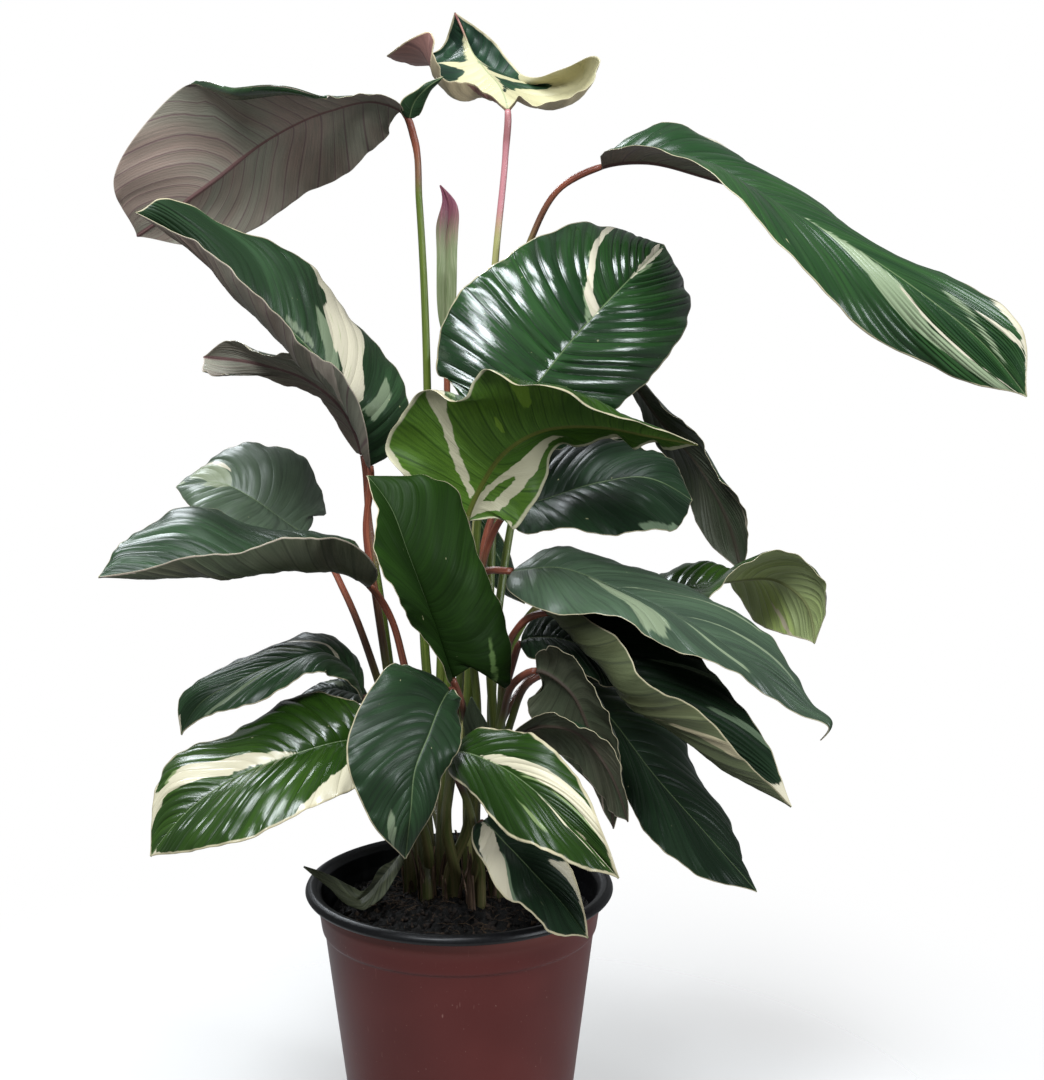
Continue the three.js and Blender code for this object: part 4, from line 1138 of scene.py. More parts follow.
# How strongly each upper look reflects
SHINE = {
    "deep": 0.5, "satin": 0.15, "painted_sheen": 0.3, "soft": 0.28, "leather": 0.26, "fresh": 0.16,
    "bright": 0.32, "tall": 0.05, "black": 0.08, "petal": 0.18,
}

# Ground, blush, vein line and dark of each under look, then its cream and its midrib. The backlit
# and lime looks are brighter greens that paint the light shining through the blade.
UNDERS = {
    "purple": ("#757466", "#7b6a60", "#5a4648", "#625e54", "#a2968a", "#5a3f3e"),
    "olive": ("#434a38", "#4b4a3b", "#323528", "#363b2c", "#94887a", "#40352d"),
    "backlit": ("#375618", "#4c6c22", "#28420f", "#2d4716", "#b8b296", "#50541f"),
    "moss": ("#303c28", "#3f4234", "#262d20", "#252d1f", "#857c6c", "#3a352b"),
    "light": ("#4c5239", "#575a3d", "#3a3f2e", "#40462f", "#8f866c", "#43442f"),
    "lime": ("#8c9768", "#99a862", "#727b55", "#7c8659", "#b3a78f", "#6c7048"),
    "pink": ("#8a625a", "#a0736a", "#6a4845", "#775650", "#b8a888", "#7c4f4c"),
}


def ragged_edge(look):
    """Millimetres by which a patch's border wanders, in steps along the veins."""
    coarse = look.grain("coarse_edge", 2)
    fine = look.grain("fine_edge", 2)
    wander = look.maths("MULTIPLY_ADD", coarse, 3.0, -1.5)
    return look.maths("ADD", wander, look.maths("MULTIPLY_ADD", fine, 0.9, -0.45))


def patch(look, field, wander, soft):
    return look.ramp(look.maths("ADD", look.field(field), wander), -soft, soft)


def vein_distance(look, finer=1):
    """From 0 on a side vein to 0.5 halfway to the next, or on finer lines between them."""
    vein = look.maths("MULTIPLY_ADD", look.field("vein"), finer, 0.5 * (finer - 1))
    return look.maths("PINGPONG", vein, 0.5)


def margin(look):
    """1 in the thin cream margin, whose width wanders, and 0 inside it."""
    uneven = look.grain("margin", 3)
    edge = look.maths("MULTIPLY_ADD", uneven, -1.6, look.field("margins_in"))
    return look.ramp(edge, -0.15, 0.35, 1.0, 0.0)


def green_tissue(look, tones, streaks, crease):
    """The blade's green, streaked along its side veins, and darkened by painted shade in its
    creases.
    """
    light, middle, dark = tones
    green = look.mix(look.ramp(look.grain("upper_tones", 3), 0.38, 0.64), middle, light)
    green = look.mix(look.times(look.ramp(streaks, 0.4, 0.66), 0.55), green, dark)
    # painted shade: the dark green laid into the sunken side veins, stronger where the pleats are
    # higher
    return look.mix(look.times(crease, 0.5), green, dark)


def with_patches(look, green, tones, streaks, crease):
    """Pale and cream patches over the green, with painted shade in the creases of the cream."""
    middle, pale, cream, greenish = tones
    wander = ragged_edge(look)
    streaked = look.mix(look.ramp(streaks, 0.56, 0.76, 0.0, 0.4), pale, middle)
    green = look.mix(look.times(patch(look, "pale_mm", wander, 0.35), 0.9), green, streaked)
    milk = look.mix(look.ramp(streaks, 0.58, 0.76), cream, greenish)
    # painted shade: the cream darkens in the sunken side veins
    milk = look.mix(look.times(crease, 0.22), milk, CREASE_SHADE_IN_CREAM)
    return look.mix(patch(look, "cream_mm", wander, 0.22), green, milk)


def with_trim(look, colour):
    """Fine specks on the half near the stem, the cream margin and the pale midrib."""
    specks = look.ramp(look.grain("specks", 1), 0.79, 0.81, 0.0, 0.6)
    specks = look.times(specks, look.ramp(look.field("along"), 0.5, 0.7, 1.0, 0.0))
    colour = look.mix(specks, colour, SPECK_COLOUR)
    colour = look.mix(look.times(margin(look), 0.9), colour, MARGIN_COLOUR)
    return look.mix(look.ramp(look.field("rib_mm"), 0.1, 0.5, 0.6, 0.0), colour, MIDRIB_COLOUR)


def upper_relief(look, streaks, crease):
    """Streaks, fine grain and sunken side veins, calmer where the veins crowd together."""
    grain = look.times(look.grain("upper_grain", 2), 0.35)
    height = look.maths("MULTIPLY_ADD", streaks, 0.8, grain)
    height = look.times(height, look.ramp(look.field("spread"), 0.2, 0.7))
    height = look.times(height, look.ramp(look.field("along"), 0.75, 0.9, 1.0, 0.3))
    return look.bump(look.maths("MULTIPLY_ADD", crease, -1.6, height), 0.0003, 0.4)


def upper_look(name):
    light, middle, dark, pale, cream, greenish, glossy, dull = UPPERS[name]
    look = Shader("upper_" + name)
    streaks = look.grain("streaks", 4, 0.6)
    pleats = look.times(look.field("pleats"), look.ramp(look.field("spread"), 0.1, 0.5))
    # Where the side veins sink, as strong as the pleats: it bends the normals and also paints
    # shade into the colour
    crease = look.times(look.ramp(vein_distance(look), 0.0, 0.07, 1.0, 0.0), pleats)
    colour = green_tissue(look, (light, middle, dark), streaks, crease)
    colour = with_patches(look, colour, (middle, pale, cream, greenish), streaks, crease)
    rough = look.ramp(streaks, 0.35, 0.7, glossy, dull)
    relief = upper_relief(look, streaks, crease)
    return look.finish(
        with_trim(look, colour), rough, Normal=relief, Specular_IOR_Level=SHINE[name],
    )


def under_look(name):
    ground, blush, line, dark, milk, rib = UNDERS[name]
    look = Shader("under_" + name)
    streaks = look.grain("streaks", 4, 0.6)
    broad = look.grain("under_tones", 3)
    vein = vein_distance(look)
    wander = ragged_edge(look)
    colour = look.mix(look.ramp(broad, 0.35, 0.62), ground, blush)
    colour = look.mix(look.times(look.ramp(streaks, 0.42, 0.65), 0.5), colour, dark)
    fine = look.ramp(vein_distance(look, 5), 0.03, 0.3, 0.16, 0.0)
    colour = look.mix(fine, colour, dark)
    colour = look.mix(look.ramp(vein, 0.015, 0.07, 0.75, 0.0), colour, line)
    # painted light: the backlit look's pale patches glow lime as if lit from behind
    if name == "backlit":
        lime = patch(look, "pale_mm", wander, 0.25)
        colour = look.mix(lime, colour, LIT_LIME)
    cream = patch(look, "cream_mm", wander, 0.25)
    colour = look.mix(look.times(cream, 0.95), colour, milk)
    colour = look.mix(look.times(margin(look), 0.85), colour, milk)
    colour = look.mix(look.ramp(look.field("rib_mm"), 0.9, 1.6, 0.9, 0.0), colour, rib)
    grain = look.maths("MULTIPLY_ADD", fine, -1.5, look.grain("under_grain", 2))
    return look.finish(
        colour, 0.46, Normal=look.bump(grain, 0.00025, 0.5), Specular_IOR_Level=0.2,
    )


def dry_look(name):
    """Streaks along a dry leaf: a ground, its streaks and its creases."""
    colours = DRY_LEAVES[name]
    look = Shader(name)
    streaks = look.grain("dry_streaks", 4)
    blotches = look.grain("dry_blotches", 3)
    colour = look.mix(look.ramp(streaks, 0.38, 0.62), colours[0], colours[1])
    colour = look.mix(look.times(look.ramp(blotches, 0.45, 0.7), 0.8), colour, colours[2])
    crease = look.ramp(vein_distance(look), 0.02, 0.14, 0.6, 0.0)
    colour = look.mix(crease, colour, colours[2])
    normal = look.bump(streaks, 0.0006, 0.8)
    return look.finish(colour, 0.55, Normal=normal, Specular_IOR_Level=0.3)


def spear_look():
    """The rolled young leaf: grey-green with a wine-red tip."""
    look = Shader("young_leaf")
    streaks = look.grain("spear_streaks", 4)
    green = look.mix(look.ramp(streaks, 0.4, 0.62), *SPEAR_GREEN)
    wine = look.mix(look.ramp(streaks, 0.4, 0.62), *SPEAR_WINE)
    along = look.maths("MULTIPLY_ADD", streaks, 0.3, look.field("along"))
    colour = look.mix(look.ramp(along, 0.62, 0.98), green, wine)
    return look.finish(colour, 0.4, Normal=look.bump(streaks, 0.0004), Specular_IOR_Level=0.4)


def stem_look():
    look = Shader("stem")
    tip = look.field("tip_mm")
    height = look.field("height_mm")
    reach = look.field("red_mm")
    streaks = look.grain("stem_streaks", 4)
    green = look.mix(look.ramp(streaks, 0.35, 0.65), *STEM_GREEN)
    foot = look.mix(look.ramp(streaks, 0.4, 0.6), *STEM_FOOT)
    green = look.mix(look.ramp(height, 150, 280, 1.0, 0.0), green, foot)
    share = look.maths("DIVIDE", tip, reach)
    brown = look.mix(look.ramp(streaks, 0.4, 0.6), *STEM_BROWN)
    red = look.mix(look.ramp(streaks, 0.4, 0.6), *STEM_RED)
    red = look.mix(look.ramp(share, 0.35, 0.8), red, brown)
    pale = look.field("pale")
    green = look.mix(pale, green, PALE_STEM_GREEN)
    red = look.mix(pale, red, PALE_STEM_RED)
    # painted shade: the red darkens lower down the stems
    red = look.mix(look.ramp(height, 180, 330, 1.0, 0.0), red, SHADED_STEM_RED)
    colour = look.mix(look.ramp(share, 0.8, 1.15, 1.0, 0.0), green, red)
    joint = look.ramp(tip, 14, 19, 0.4, 0.0)
    colour = look.mix(joint, colour, STEM_JOINT)
    papery = look.mix(look.ramp(streaks, 0.4, 0.65), *STEM_PAPERY)
    colour = look.mix(look.field("papery"), colour, papery)
    rough = look.ramp(look.field("papery"), 0.0, 1.0, 0.34, 0.75)
    return look.finish(colour, rough, Normal=look.bump(streaks, 0.0004), Specular_IOR_Level=0.4)


def soil_look(name):
    """Ground, its lighter part and its grains, from the table of soils."""
    colours = SOILS[name]
    look = Shader(name)
    place = look.object_place()
    broad = look.noise(place, 160, 4)
    fine = look.noise(place, 1500, 4)
    colour = look.mix(look.ramp(broad, 0.38, 0.62), colours[0], colours[1])
    colour = look.mix(look.ramp(fine, 0.56, 0.7, 0.0, 0.8), colour, colours[2])
    return look.finish(colour, 0.85, Normal=look.bump(fine, 0.0008), Specular_IOR_Level=0.3)


def pot_look():
    """Red-brown plastic with fine dust and scratches, and a black lip and inside."""
    look = Shader("pot")
    place = look.object_place()
    broad = look.noise(place, 9, 3)
    fine = look.noise(place, 900, 3)
    red = look.mix(look.ramp(broad, 0.35, 0.65), *POT_RED)
    specks = look.ramp(look.noise(place, 620, 2), 0.71, 0.8, 0.0, 0.45)
    red = look.mix(specks, red, POT_SPECK)
    lines = look.noise(look.stretched(place, (900, 900, 60)), 1, 2)
    worn = look.ramp(look.noise(place, 30, 2), 0.52, 0.62, 0.0, 0.5)
    worn = look.times(look.ramp(lines, 0.68, 0.74, 0.0, 1.0), worn)
    red = look.mix(worn, red, POT_SCRATCH)
    dust = look.ramp(look.field("height_mm"), 132, 146, 0.0, 0.35)
    red = look.mix(dust, red, POT_DUST)
    dark = look.mix(look.ramp(fine, 0.4, 0.7), *POT_BLACK)
    colour = look.mix(look.field("outside"), dark, red)
    rough = look.maths("MULTIPLY_ADD", broad, 0.16, 0.3)
    return look.finish(colour, rough, Normal=look.bump(fine, 0.00006, 0.4), Specular_IOR_Level=0.2)


# Pot and mix

def pot_profile():
    """Radius and height of each corner, from the middle of the base up and round to the inside."""
    lip_bottom = POT_HEIGHT - LIP_HEIGHT
    step_top = POT_HEIGHT - COLLAR_DEPTH
    step_bottom = step_top - 1.5
    return [
        (0, 0),
        (14, 0),
        (17, BASE_LIFT),
        (46, BASE_LIFT),
        (48, 0),
        (BASE_RADIUS - 1.5, 0),
        (BASE_RADIUS, 1.5),
        (BODY_RADIUS, step_bottom),
        (COLLAR_RADIUS - 1.7, step_top - 0.2),
        (COLLAR_RADIUS - 1.4, step_top + 1.2),
        (COLLAR_RADIUS, step_top + 11),
        (COLLAR_RADIUS, lip_bottom),
        (LIP_RADIUS - 1.2, lip_bottom + 0.4),
        (LIP_RADIUS, lip_bottom + 2.2),
        (LIP_RADIUS - 0.9, POT_HEIGHT - 1.2),
        (LIP_RADIUS - 3.2, POT_HEIGHT),
        (COLLAR_RADIUS + 0.6, POT_HEIGHT - 0.9),
        (COLLAR_RADIUS - WALL, POT_HEIGHT - 3.5),
        (COLLAR_RADIUS - WALL, step_top + 11),
        (COLLAR_RADIUS - WALL - 1.8, step_top + 1.4),
        (BODY_RADIUS - WALL, step_bottom + 0.8),
        (BASE_RADIUS - WALL, BASE_LIFT + WALL),
        (0, BASE_LIFT + WALL),
    ]


def rounded(profile, cut=0.8):
    """The profile with each corner replaced by a small curve."""
    points = [np.array(profile[0], float)]
    for before, corner, after in zip(profile, profile[1:], profile[2:]):
        corner = np.array(corner, float)
        into = np.array(before) - corner
        out = np.array(after) - corner
        start = corner + into * min(0.4, cut / np.linalg.norm(into))
        end = corner + out * min(0.4, cut / np.linalg.norm(out))
        for t in (0, 0.25, 0.5, 0.75, 1):
            points.append((1 - t) ** 2 * start + 2 * t * (1 - t) * corner + t * t * end)
    points.append(np.array(profile[-1], float))
    return points


def ring_faces(rings, segments, flip=False):
    """Faces over rings of points that close on one point at each end."""
    last = 1 + rings * segments
    faces = []
    for k in range(segments):
        after = (k + 1) % segments
        faces.append((0, 1 + after, 1 + k))
        for i in range(rings - 1):
            a = 1 + i * segments
            faces.append((a + k, a + after, a + segments + after, a + segments + k))
        faces.append((last - segments + k, last - segments + after, last))
    return [face[:1] + face[:0:-1] for face in faces] if flip else faces


def turned(profile, segments):
    """Points and faces of a turned shape whose profile starts and ends on the axis."""
    turns = 2 * np.pi * np.arange(segments) / segments
    points = [(0, 0, profile[0][1])]
    for radius, height in profile[1:-1]:
        points.extend((radius * math.cos(t), radius * math.sin(t), height) for t in turns)
    points.append((0, 0, profile[-1][1]))
    return np.array(points), ring_faces(len(profile) - 2, segments)


def make_pot():
    profile = rounded(pot_profile())
    points, faces = turned(profile, POT_SEGMENTS)
    height = points[:, 2]
    top = int(np.argmax([corner[1] for corner in profile]))
    rings = np.repeat(np.arange(1, len(profile) - 1), POT_SEGMENTS)
    ring = np.concatenate([[0], rings, [len(profile)]])
    outside = (ring < top) & (height < POT_HEIGHT - LIP_HEIGHT + 0.3)
    fields = {"outside": outside.astype(float), "height_mm": height}
    pot = add_mesh("pot_turned", points, faces, [pot_look()], attributes=fields)
    stand_for(pot, "pot", "pot")


def mix_height(radius, angle):
    mound = MIX_MOUND * np.exp(-((radius / MIX_MOUND_RADIUS) ** 2))
    lumps = 1.1 * np.sin(3 * angle + radius / 9) + 0.7 * np.sin(7 * angle - radius / 6)
    return MIX_LEVEL + mound + lumps * np.minimum(1, radius / 25)


def mix_edge(height):
    """Inner radius of the pot at a height, less a gap."""
    step_bottom = POT_HEIGHT - COLLAR_DEPTH - 2.5
    floor = BASE_LIFT + WALL
    rise = (min(height, step_bottom) - floor) / (step_bottom + 0.8 - floor)
    return BASE_RADIUS - WALL + (BODY_RADIUS - BASE_RADIUS) * rise - MIX_EDGE_GAP


def crumbs(x, y, size, seed):
    """Smooth random lumps over the mix, mostly from -1 to 1, of about the size given."""
    source = np.random.default_rng(seed)
    total = np.zeros_like(x)
    for _ in range(CRUMB_WAVES):
        turn = source.uniform(0, 2 * np.pi)
        speed = 2 * np.pi / (size * source.uniform(0.6, 1.5))
        shift = source.uniform(0, 2 * np.pi)
        total += np.sin(speed * (x * math.cos(turn) + y * math.sin(turn)) + shift)
    return total / math.sqrt(CRUMB_WAVES)


def mix_surface(widest):
    """Rings of points over the mix, rough in the middle and smooth at the pot's wall."""
    rings = np.arange(1, MIX_RINGS + 1)[:, None] / MIX_RINGS * widest
    turns = 2 * np.pi * np.arange(MIX_SEGMENTS)[None, :] / MIX_SEGMENTS
    x = rings * np.cos(turns)
    y = rings * np.sin(turns)
    settle = 1 - smoothstep(rings, widest - 2, widest)
    rough = sum(height * crumbs(x, y, size, seed) for height, size, seed in CRUMB_LAYERS)
    z = mix_height(rings, turns) + settle * rough
    return np.stack([x, y, z], axis=-1).reshape(-1, 3).tolist()


def make_mix():
    widest = mix_edge(MIX_LEVEL)
    points = [(0, 0, float(mix_height(0.0, 0.0))), *mix_surface(widest)]
    turns = 2 * np.pi * np.arange(MIX_SEGMENTS) / MIX_SEGMENTS
    for radius, height in (
        (widest, POT_HEIGHT - COLLAR_DEPTH - 3),
        (mix_edge(MIX_BOTTOM), MIX_BOTTOM),
    ):
        points.extend((radius * math.cos(t), radius * math.sin(t), height) for t in turns)
    points.append((0, 0, MIX_BOTTOM))
    faces = ring_faces(MIX_RINGS + 2, MIX_SEGMENTS, True)
    bed = add_mesh("potting_mix_bed", points, faces, [soil_look("potting_mix")])
    stand_for(bed, "potting_mix", "potting_mix")


def scattered(source, count, widest):
    """Random places on the mix: x, y and the height there."""
    radius = widest * np.sqrt(source.uniform(0.0, 1, count))
    angle = source.uniform(0, 2 * np.pi, count)
    return radius * np.cos(angle), radius * np.sin(angle), mix_height(radius, angle)


def chip(source, place):
    """Six corners of one crumb, a double pyramid bent out of shape."""
    corners = np.concatenate([np.eye(3)[:2], -np.eye(3)[:2], np.eye(3)[2:], -np.eye(3)[2:]])
    size = source.gamma(3, 0.32) + 0.35
    stretch = size * source.uniform(0.5, 1.2, 3) * CHIP_STRETCH
    turn = np.linalg.qr(source.normal(size=(3, 3)))[0]
    bent = corners * stretch * source.uniform(0.7, 1.25, (6, 1))
    x, y, z = place
    return bent @ turn + (x, y, z + CHIP_LIFT)


def make_chips():
    """Crumbs of peat and bark lying on the mix."""
    source = np.random.default_rng(CHIP_SEED)
    sides = [(i, (i + 1) % 4, 4) for i in range(4)] + [((i + 1) % 4, i, 5) for i in range(4)]
    parts = []
    kinds = []
    for place in zip(*scattered(source, CHIP_COUNT, mix_edge(MIX_LEVEL) - 4)):
        parts.append((chip(source, place), sides, {}))
        kinds.extend([int(source.uniform() < BARK_SHARE)] * len(sides))
    points, faces, _ = joined(parts)
    looks = [soil_look("peat_crumb"), soil_look("bark_crumb")]
    chips = add_mesh("potting_mix_crumbs", points, faces, looks, kinds)
    stand_for(chips, "potting_mix")


def fibre(source, place):
    """One thin curved tube that lies on the mix."""
    x, y, z = place
    turn = source.uniform(0, 2 * np.pi)
    length = source.uniform(*FIBRE_LENGTHS)
    steps = np.linspace(0, 1, FIBRE_POINTS)
    arch = np.sin(np.pi * steps)
    bend = source.normal(0, 1.0)
    across = steps * length
    aside = bend * 2.2 * arch + source.normal(0, 0.3, FIBRE_POINTS)
    line = np.stack([
        x + across * math.cos(turn) - aside * math.sin(turn),
        y + across * math.sin(turn) + aside * math.cos(turn),
        z + 1.0 + source.uniform(*FIBRE_ARCHES) * arch,
    ], axis=1)
    radii = np.full(FIBRE_POINTS, source.uniform(*FIBRE_RADII))
    return (*tube(line, radii, FIBRE_SIDES), {})


def make_fibres():
    """Fine roots and fibres lying on the mix."""
    source = np.random.default_rng(FIBRE_SEED)
    places = zip(*scattered(source, FIBRE_COUNT, mix_edge(MIX_LEVEL) - 14))
    points, faces, _ = joined([fibre(source, place) for place in places])
    fibres = add_mesh("potting_mix_fibres", points, faces, [soil_look("fibre")])
    stand_for(fibres, "potting_mix")


# Stems

def stem_radii(along, length):
    """Thicker at the foot and at the joint below the blade."""
    taper = np.maximum(0, along / length - 0.3) / 0.7
    joint = smoothstep(along, length - 24, length - 15)
    joint = joint * (1 - smoothstep(along, length - 5, length))
    foot = 1 - smoothstep(along, 10, 90)
    slim = STEM_RADIUS + (STEM_END_RADIUS - STEM_RADIUS) * taper
    return slim + JOINT_BULGE * joint + FOOT_BULGE * foot


def stem_fields(points, place, to_blade, red, pale, papery):
    """What the stems' material reads at each point."""
    values = {
        "tip_mm": to_blade,
        "height_mm": points[:, 2],
        "red_mm": red,
        "pale": pale,
        "papery": papery,
    }
    fields = {key: np.full(len(points), value, float) for key, value in values.items()}
    return {**fields, "place": place}


def make_stem(name, number):
    """One stem as a round bar, with the fields of its material."""
    curve, start, _ = leaf_line(name)
    length = start - STEM_TO_BLADE
    along = np.linspace(0, length, int(length / STEM_STEP))
    points, faces = tube(point_on(curve, along), stem_radii(along, length), STEM_SIDES)
    along = np.repeat(along, STEM_SIDES)
    turns = np.arange(len(points)) % STEM_SIDES * 0.9
    place = np.stack([turns, along, np.full(len(points), number * NOISE_SHIFT_OF_STEMS)], axis=1)
    pale = PALE_STEMS.get(name, 0)
    return points, faces, stem_fields(points, place, start - along, LOOKS[name][5], pale, 0)


def dry_sheath(centre, turn, radius, height, lean, number):
    """A papery strip that hugs a clump's foot and leans away from it at the top."""
    up = np.linspace(0, 1, SHEATH_ROWS)
    t, across = np.meshgrid(up, np.linspace(-1, 1, SHEATH_COLUMNS), indexing="ij")
    spread = SHEATH_HALF_TURN * (1 - t) ** 0.8 + 0.008
    angle = turn + across * spread + 0.25 * np.sin(3 * t + number)
    out = radius + lean * t ** 3 - 0.8 * t + 0.5 * np.sin(9 * t + 5 * across + number) * t
    outward = np.stack([np.cos(angle), np.sin(angle), np.zeros_like(angle)], axis=-1)
    points = np.stack([
        centre[0] + out * np.cos(angle),
        centre[1] + out * np.sin(angle),
        STEM_START + height * t,
    ], axis=-1)
    inner = points - SHEATH_THICKNESS * outward
    points = np.concatenate([points.reshape(-1, 3), inner.reshape(-1, 3)])
    shift = np.full(t.shape, number * NOISE_SHIFT_OF_SHEATHS)
    place = np.stack([across * 6, t * height, shift], axis=-1).reshape(-1, 3)
    fields = stem_fields(points, np.tile(place, (2, 1)), FAR_FROM_BLADE, 1, 0, 1)
    return points, sheet_faces(*t.shape)[:, ::-1].tolist(), fields


def sheaths_round(centre, source):
    """Dry sheaths on all sides of one clump's foot."""
    first_turn = source.uniform(0, 2 * np.pi)
    for number in range(SHEATHS_PER_CLUMP):
        turn = first_turn + 2 * np.pi * number / SHEATHS_PER_CLUMP + source.uniform(-0.4, 0.4)
        height = source.uniform(*SHEATH_HEIGHTS)
        radius = source.uniform(*SHEATH_RADII)
        lean = source.uniform(*SHEATH_LEANS)
        yield dry_sheath(centre, turn, radius, height, lean, number + centre[0])


def make_stems():
    """One piece for each clump: its stems and the dry sheaths at their foot."""
    look = stem_look()
    source = np.random.default_rng(SHEATH_SEED)
    for clump, centre in CLUMPS.items():
        parts = [
            make_stem(name, number)
            for number, (name, leaf) in enumerate(LEAVES.items())
            if leaf["clump"] == clump and leaf["stem"]
        ]
        points, faces, fields = joined([*parts, *sheaths_round(centre, source)])
        stems = add_mesh("stems_of_" + clump, points, faces, [look], attributes=fields)
        stand_for(stems, "stem", "stems_" + clump)


# Blades

def depth_inside(corners, x, y):
    """Distance to an outline, above 0 inside it and below 0 outside."""
    ends = np.array(corners, float)
    nearest = np.full(x.shape, 1e6)
    inside = np.zeros(x.shape, bool)
    for (ax, ay), (bx, by) in zip(ends, np.roll(ends, -1, axis=0)):
        dx, dy = bx - ax, by - ay
        share = np.clip(((x - ax) * dx + (y - ay) * dy) / (dx * dx + dy * dy + 1e-9), 0, 1)
        nearest = np.minimum(nearest, np.hypot(x - ax - share * dx, y - ay - share * dy))
        if by != ay:
            crosses = ((ay > y) != (by > y)) & (x < ax + (y - ay) * dx / (by - ay))
            inside ^= crosses
    return np.where(inside, nearest, -nearest)


def patch_depths(name, sheet):
    """How far inside the cream and the pale patches each point is, in millimetres."""
    scale = np.array([sheet["length"], sheet["width"].max() * RAGGED])
    s = sheet["s"] * scale[0]
    v = sheet["v"] * scale[1]
    depths = {kind: np.full(s.shape, FAR_OUTSIDE) for kind in ("cream", "pale")}
    for kind, corners in PATCHES.get(name, []):
        inside = depth_inside(np.array(corners) * scale, s, v)
        if kind == "green":
            depths = {key: np.minimum(depth, -inside) for key, depth in depths.items()}
        else:
            depths[kind] = np.maximum(depths[kind], inside)
    return depths["cream"], depths["pale"]


def way_up(points):
    up = unit(np.cross(np.gradient(points, axis=1), np.gradient(points, axis=0)))
    up[0] = up[1]
    up[-1] = up[-2]
    return up


def rolled_half(name, side, u, out):
    """One half of a sheet, its edge carried out and folded back on the under side if it rolls."""
    points, from_rib, width = half_sheet(name, side, u, out)
    rolls_on, begin, end, depth = ROLLS.get(name, (None, 0, 1, 0))
    if side != rolls_on:
        return points, from_rib, width
    middle = (begin + end) / 2
    flap = depth * smoothstep(u, begin, middle) * (1 - smoothstep(u, middle, end))
    crest = width + flap
    whole = crest + flap
    at_fold = FOLD_COLUMN * whole
    at_fold = at_fold + (crest - at_fold) * smoothstep(flap, 0, 0.2 * depth)
    beyond = (out - FOLD_COLUMN) / (1 - FOLD_COLUMN) * (whole - at_fold)
    reach = np.where(out < FOLD_COLUMN, out / FOLD_COLUMN * at_fold, at_fold + beyond)
    past = np.maximum(reach - crest, 0)
    flat = half_sheet(name, side, u, reach / width)[0]
    folded = half_sheet(name, side, u, (reach - 2 * past) / width)[0]
    lift = FOLD_LIFT * smoothstep(past, 0, FOLD_ROOM)
    return folded - way_up(flat) * lift[..., None], reach, whole


def uneven(steps, veins, number):
    """The same steps, with some side veins closer together than others."""
    source = np.random.default_rng(VEIN_SEED + number)
    wander = np.sin(2 * np.pi * (0.21 * veins * steps + source.uniform()))
    wander = wander + np.sin(2 * np.pi * (0.37 * veins * steps + source.uniform()))
    wander = wander - wander[0] - (wander[-1] - wander[0]) * steps
    return steps + VEIN_WANDER * wander / veins


def blade_sheet(name, number):
    """Middle sheet of a blade: its points, the way up and its measures."""
    sweep = LOOKS[name][2]
    _, start, end = leaf_line(name)
    length = end - start
    veins = round(LEAST_VEINS + length * VEINS_PER_MM)
    steps = np.linspace(0, 1, veins * ROWS_PER_VEIN + 1)
    halves = np.concatenate([-np.array(COLUMNS[:0:-1]), COLUMNS])
    s, v = np.meshgrid(uneven(steps, veins, number), halves, indexing="ij")
    out = np.abs(v)
    swept = sweep * out ** SWEEP_POWER
    u = 1 - np.maximum(1 - s, 0) ** (1 + swept)
    points = np.empty(s.shape + (3,))
    from_rib = np.empty(s.shape)
    width = np.empty(s.shape)
    for side, chosen in ((0, halves < 0), (1, halves >= 0)):
        part, across, wide = rolled_half(name, side, u[:, chosen], out[:, chosen])
        points[:, chosen] = part
        from_rib[:, chosen] = across
        width[:, chosen] = wide
    return {
        "points": points, "up": way_up(points), "s": s, "v": v, "u": u, "out": out,
        "from_rib": from_rib, "width": width, "length": length, "number": number,
        "vein": np.tile(veins * steps[:, None], len(halves)),
        "spread": np.maximum(1 - s, 0) ** swept,
    }


def pleated(name, sheet, shifts):
    """Height of the blade between its sunken side veins."""
    width = sheet["width"]
    calm = smoothstep(sheet["from_rib"], 0.4, 5) * (1 - smoothstep(sheet["out"], 0.88, 1))
    calm = calm * smoothstep(width, 3, 16) * smoothstep(sheet["spread"], 0.1, 0.5)
    pleat = np.abs(np.sin(np.pi * sheet["vein"])) ** 0.7
    swell = 1 + 0.35 * np.sin(2 * np.pi * (2.3 * sheet["s"] + shifts[2]) + 2 * sheet["v"])
    return LOOKS[name][3] * (pleat - 0.6) * swell * calm


def swaying(sheet, shifts):
    """Height of the slow waves over a whole half."""
    s, u, v = (sheet[key] for key in ("s", "u", "v"))
    sway = np.sin(2 * np.pi * (3.1 * u + shifts[0]) + 2.2 * v)
    sway = sway + 0.5 * np.sin(2 * np.pi * (7.3 * s + shifts[1]) - 3.1 * v)
    room = smoothstep(sheet["width"], 6, 30)
    return SWAY_HEIGHT * sway * room * smoothstep(sheet["out"], 0.05, 0.5)


def ruffled(sheet, shifts):
    """Height of the fine waves along the edge."""
    u = sheet["u"]
    ruffle = np.sin(2 * np.pi * (9 * u + shifts[2]))
    ruffle = ruffle + 0.6 * np.sin(2 * np.pi * (17 * u + shifts[3]))
    edge = smoothstep(sheet["out"], 0.75, 1)
    return RUFFLE_HEIGHT * ruffle * edge * smoothstep(sheet["width"], 5, 25)


def frilled(name, sheet):
    """Height of the deep waves along a frilled edge."""
    u = sheet["u"]
    height, count, begin = FRILLS.get(name, (0, 1, 0))
    frill = height * np.sin(2 * np.pi * (count * u + begin)) * smoothstep(sheet["out"], 0.45, 1)
    return frill * smoothstep(u, 0.03, 0.15) * (1 - smoothstep(u, 0.7, 0.95))


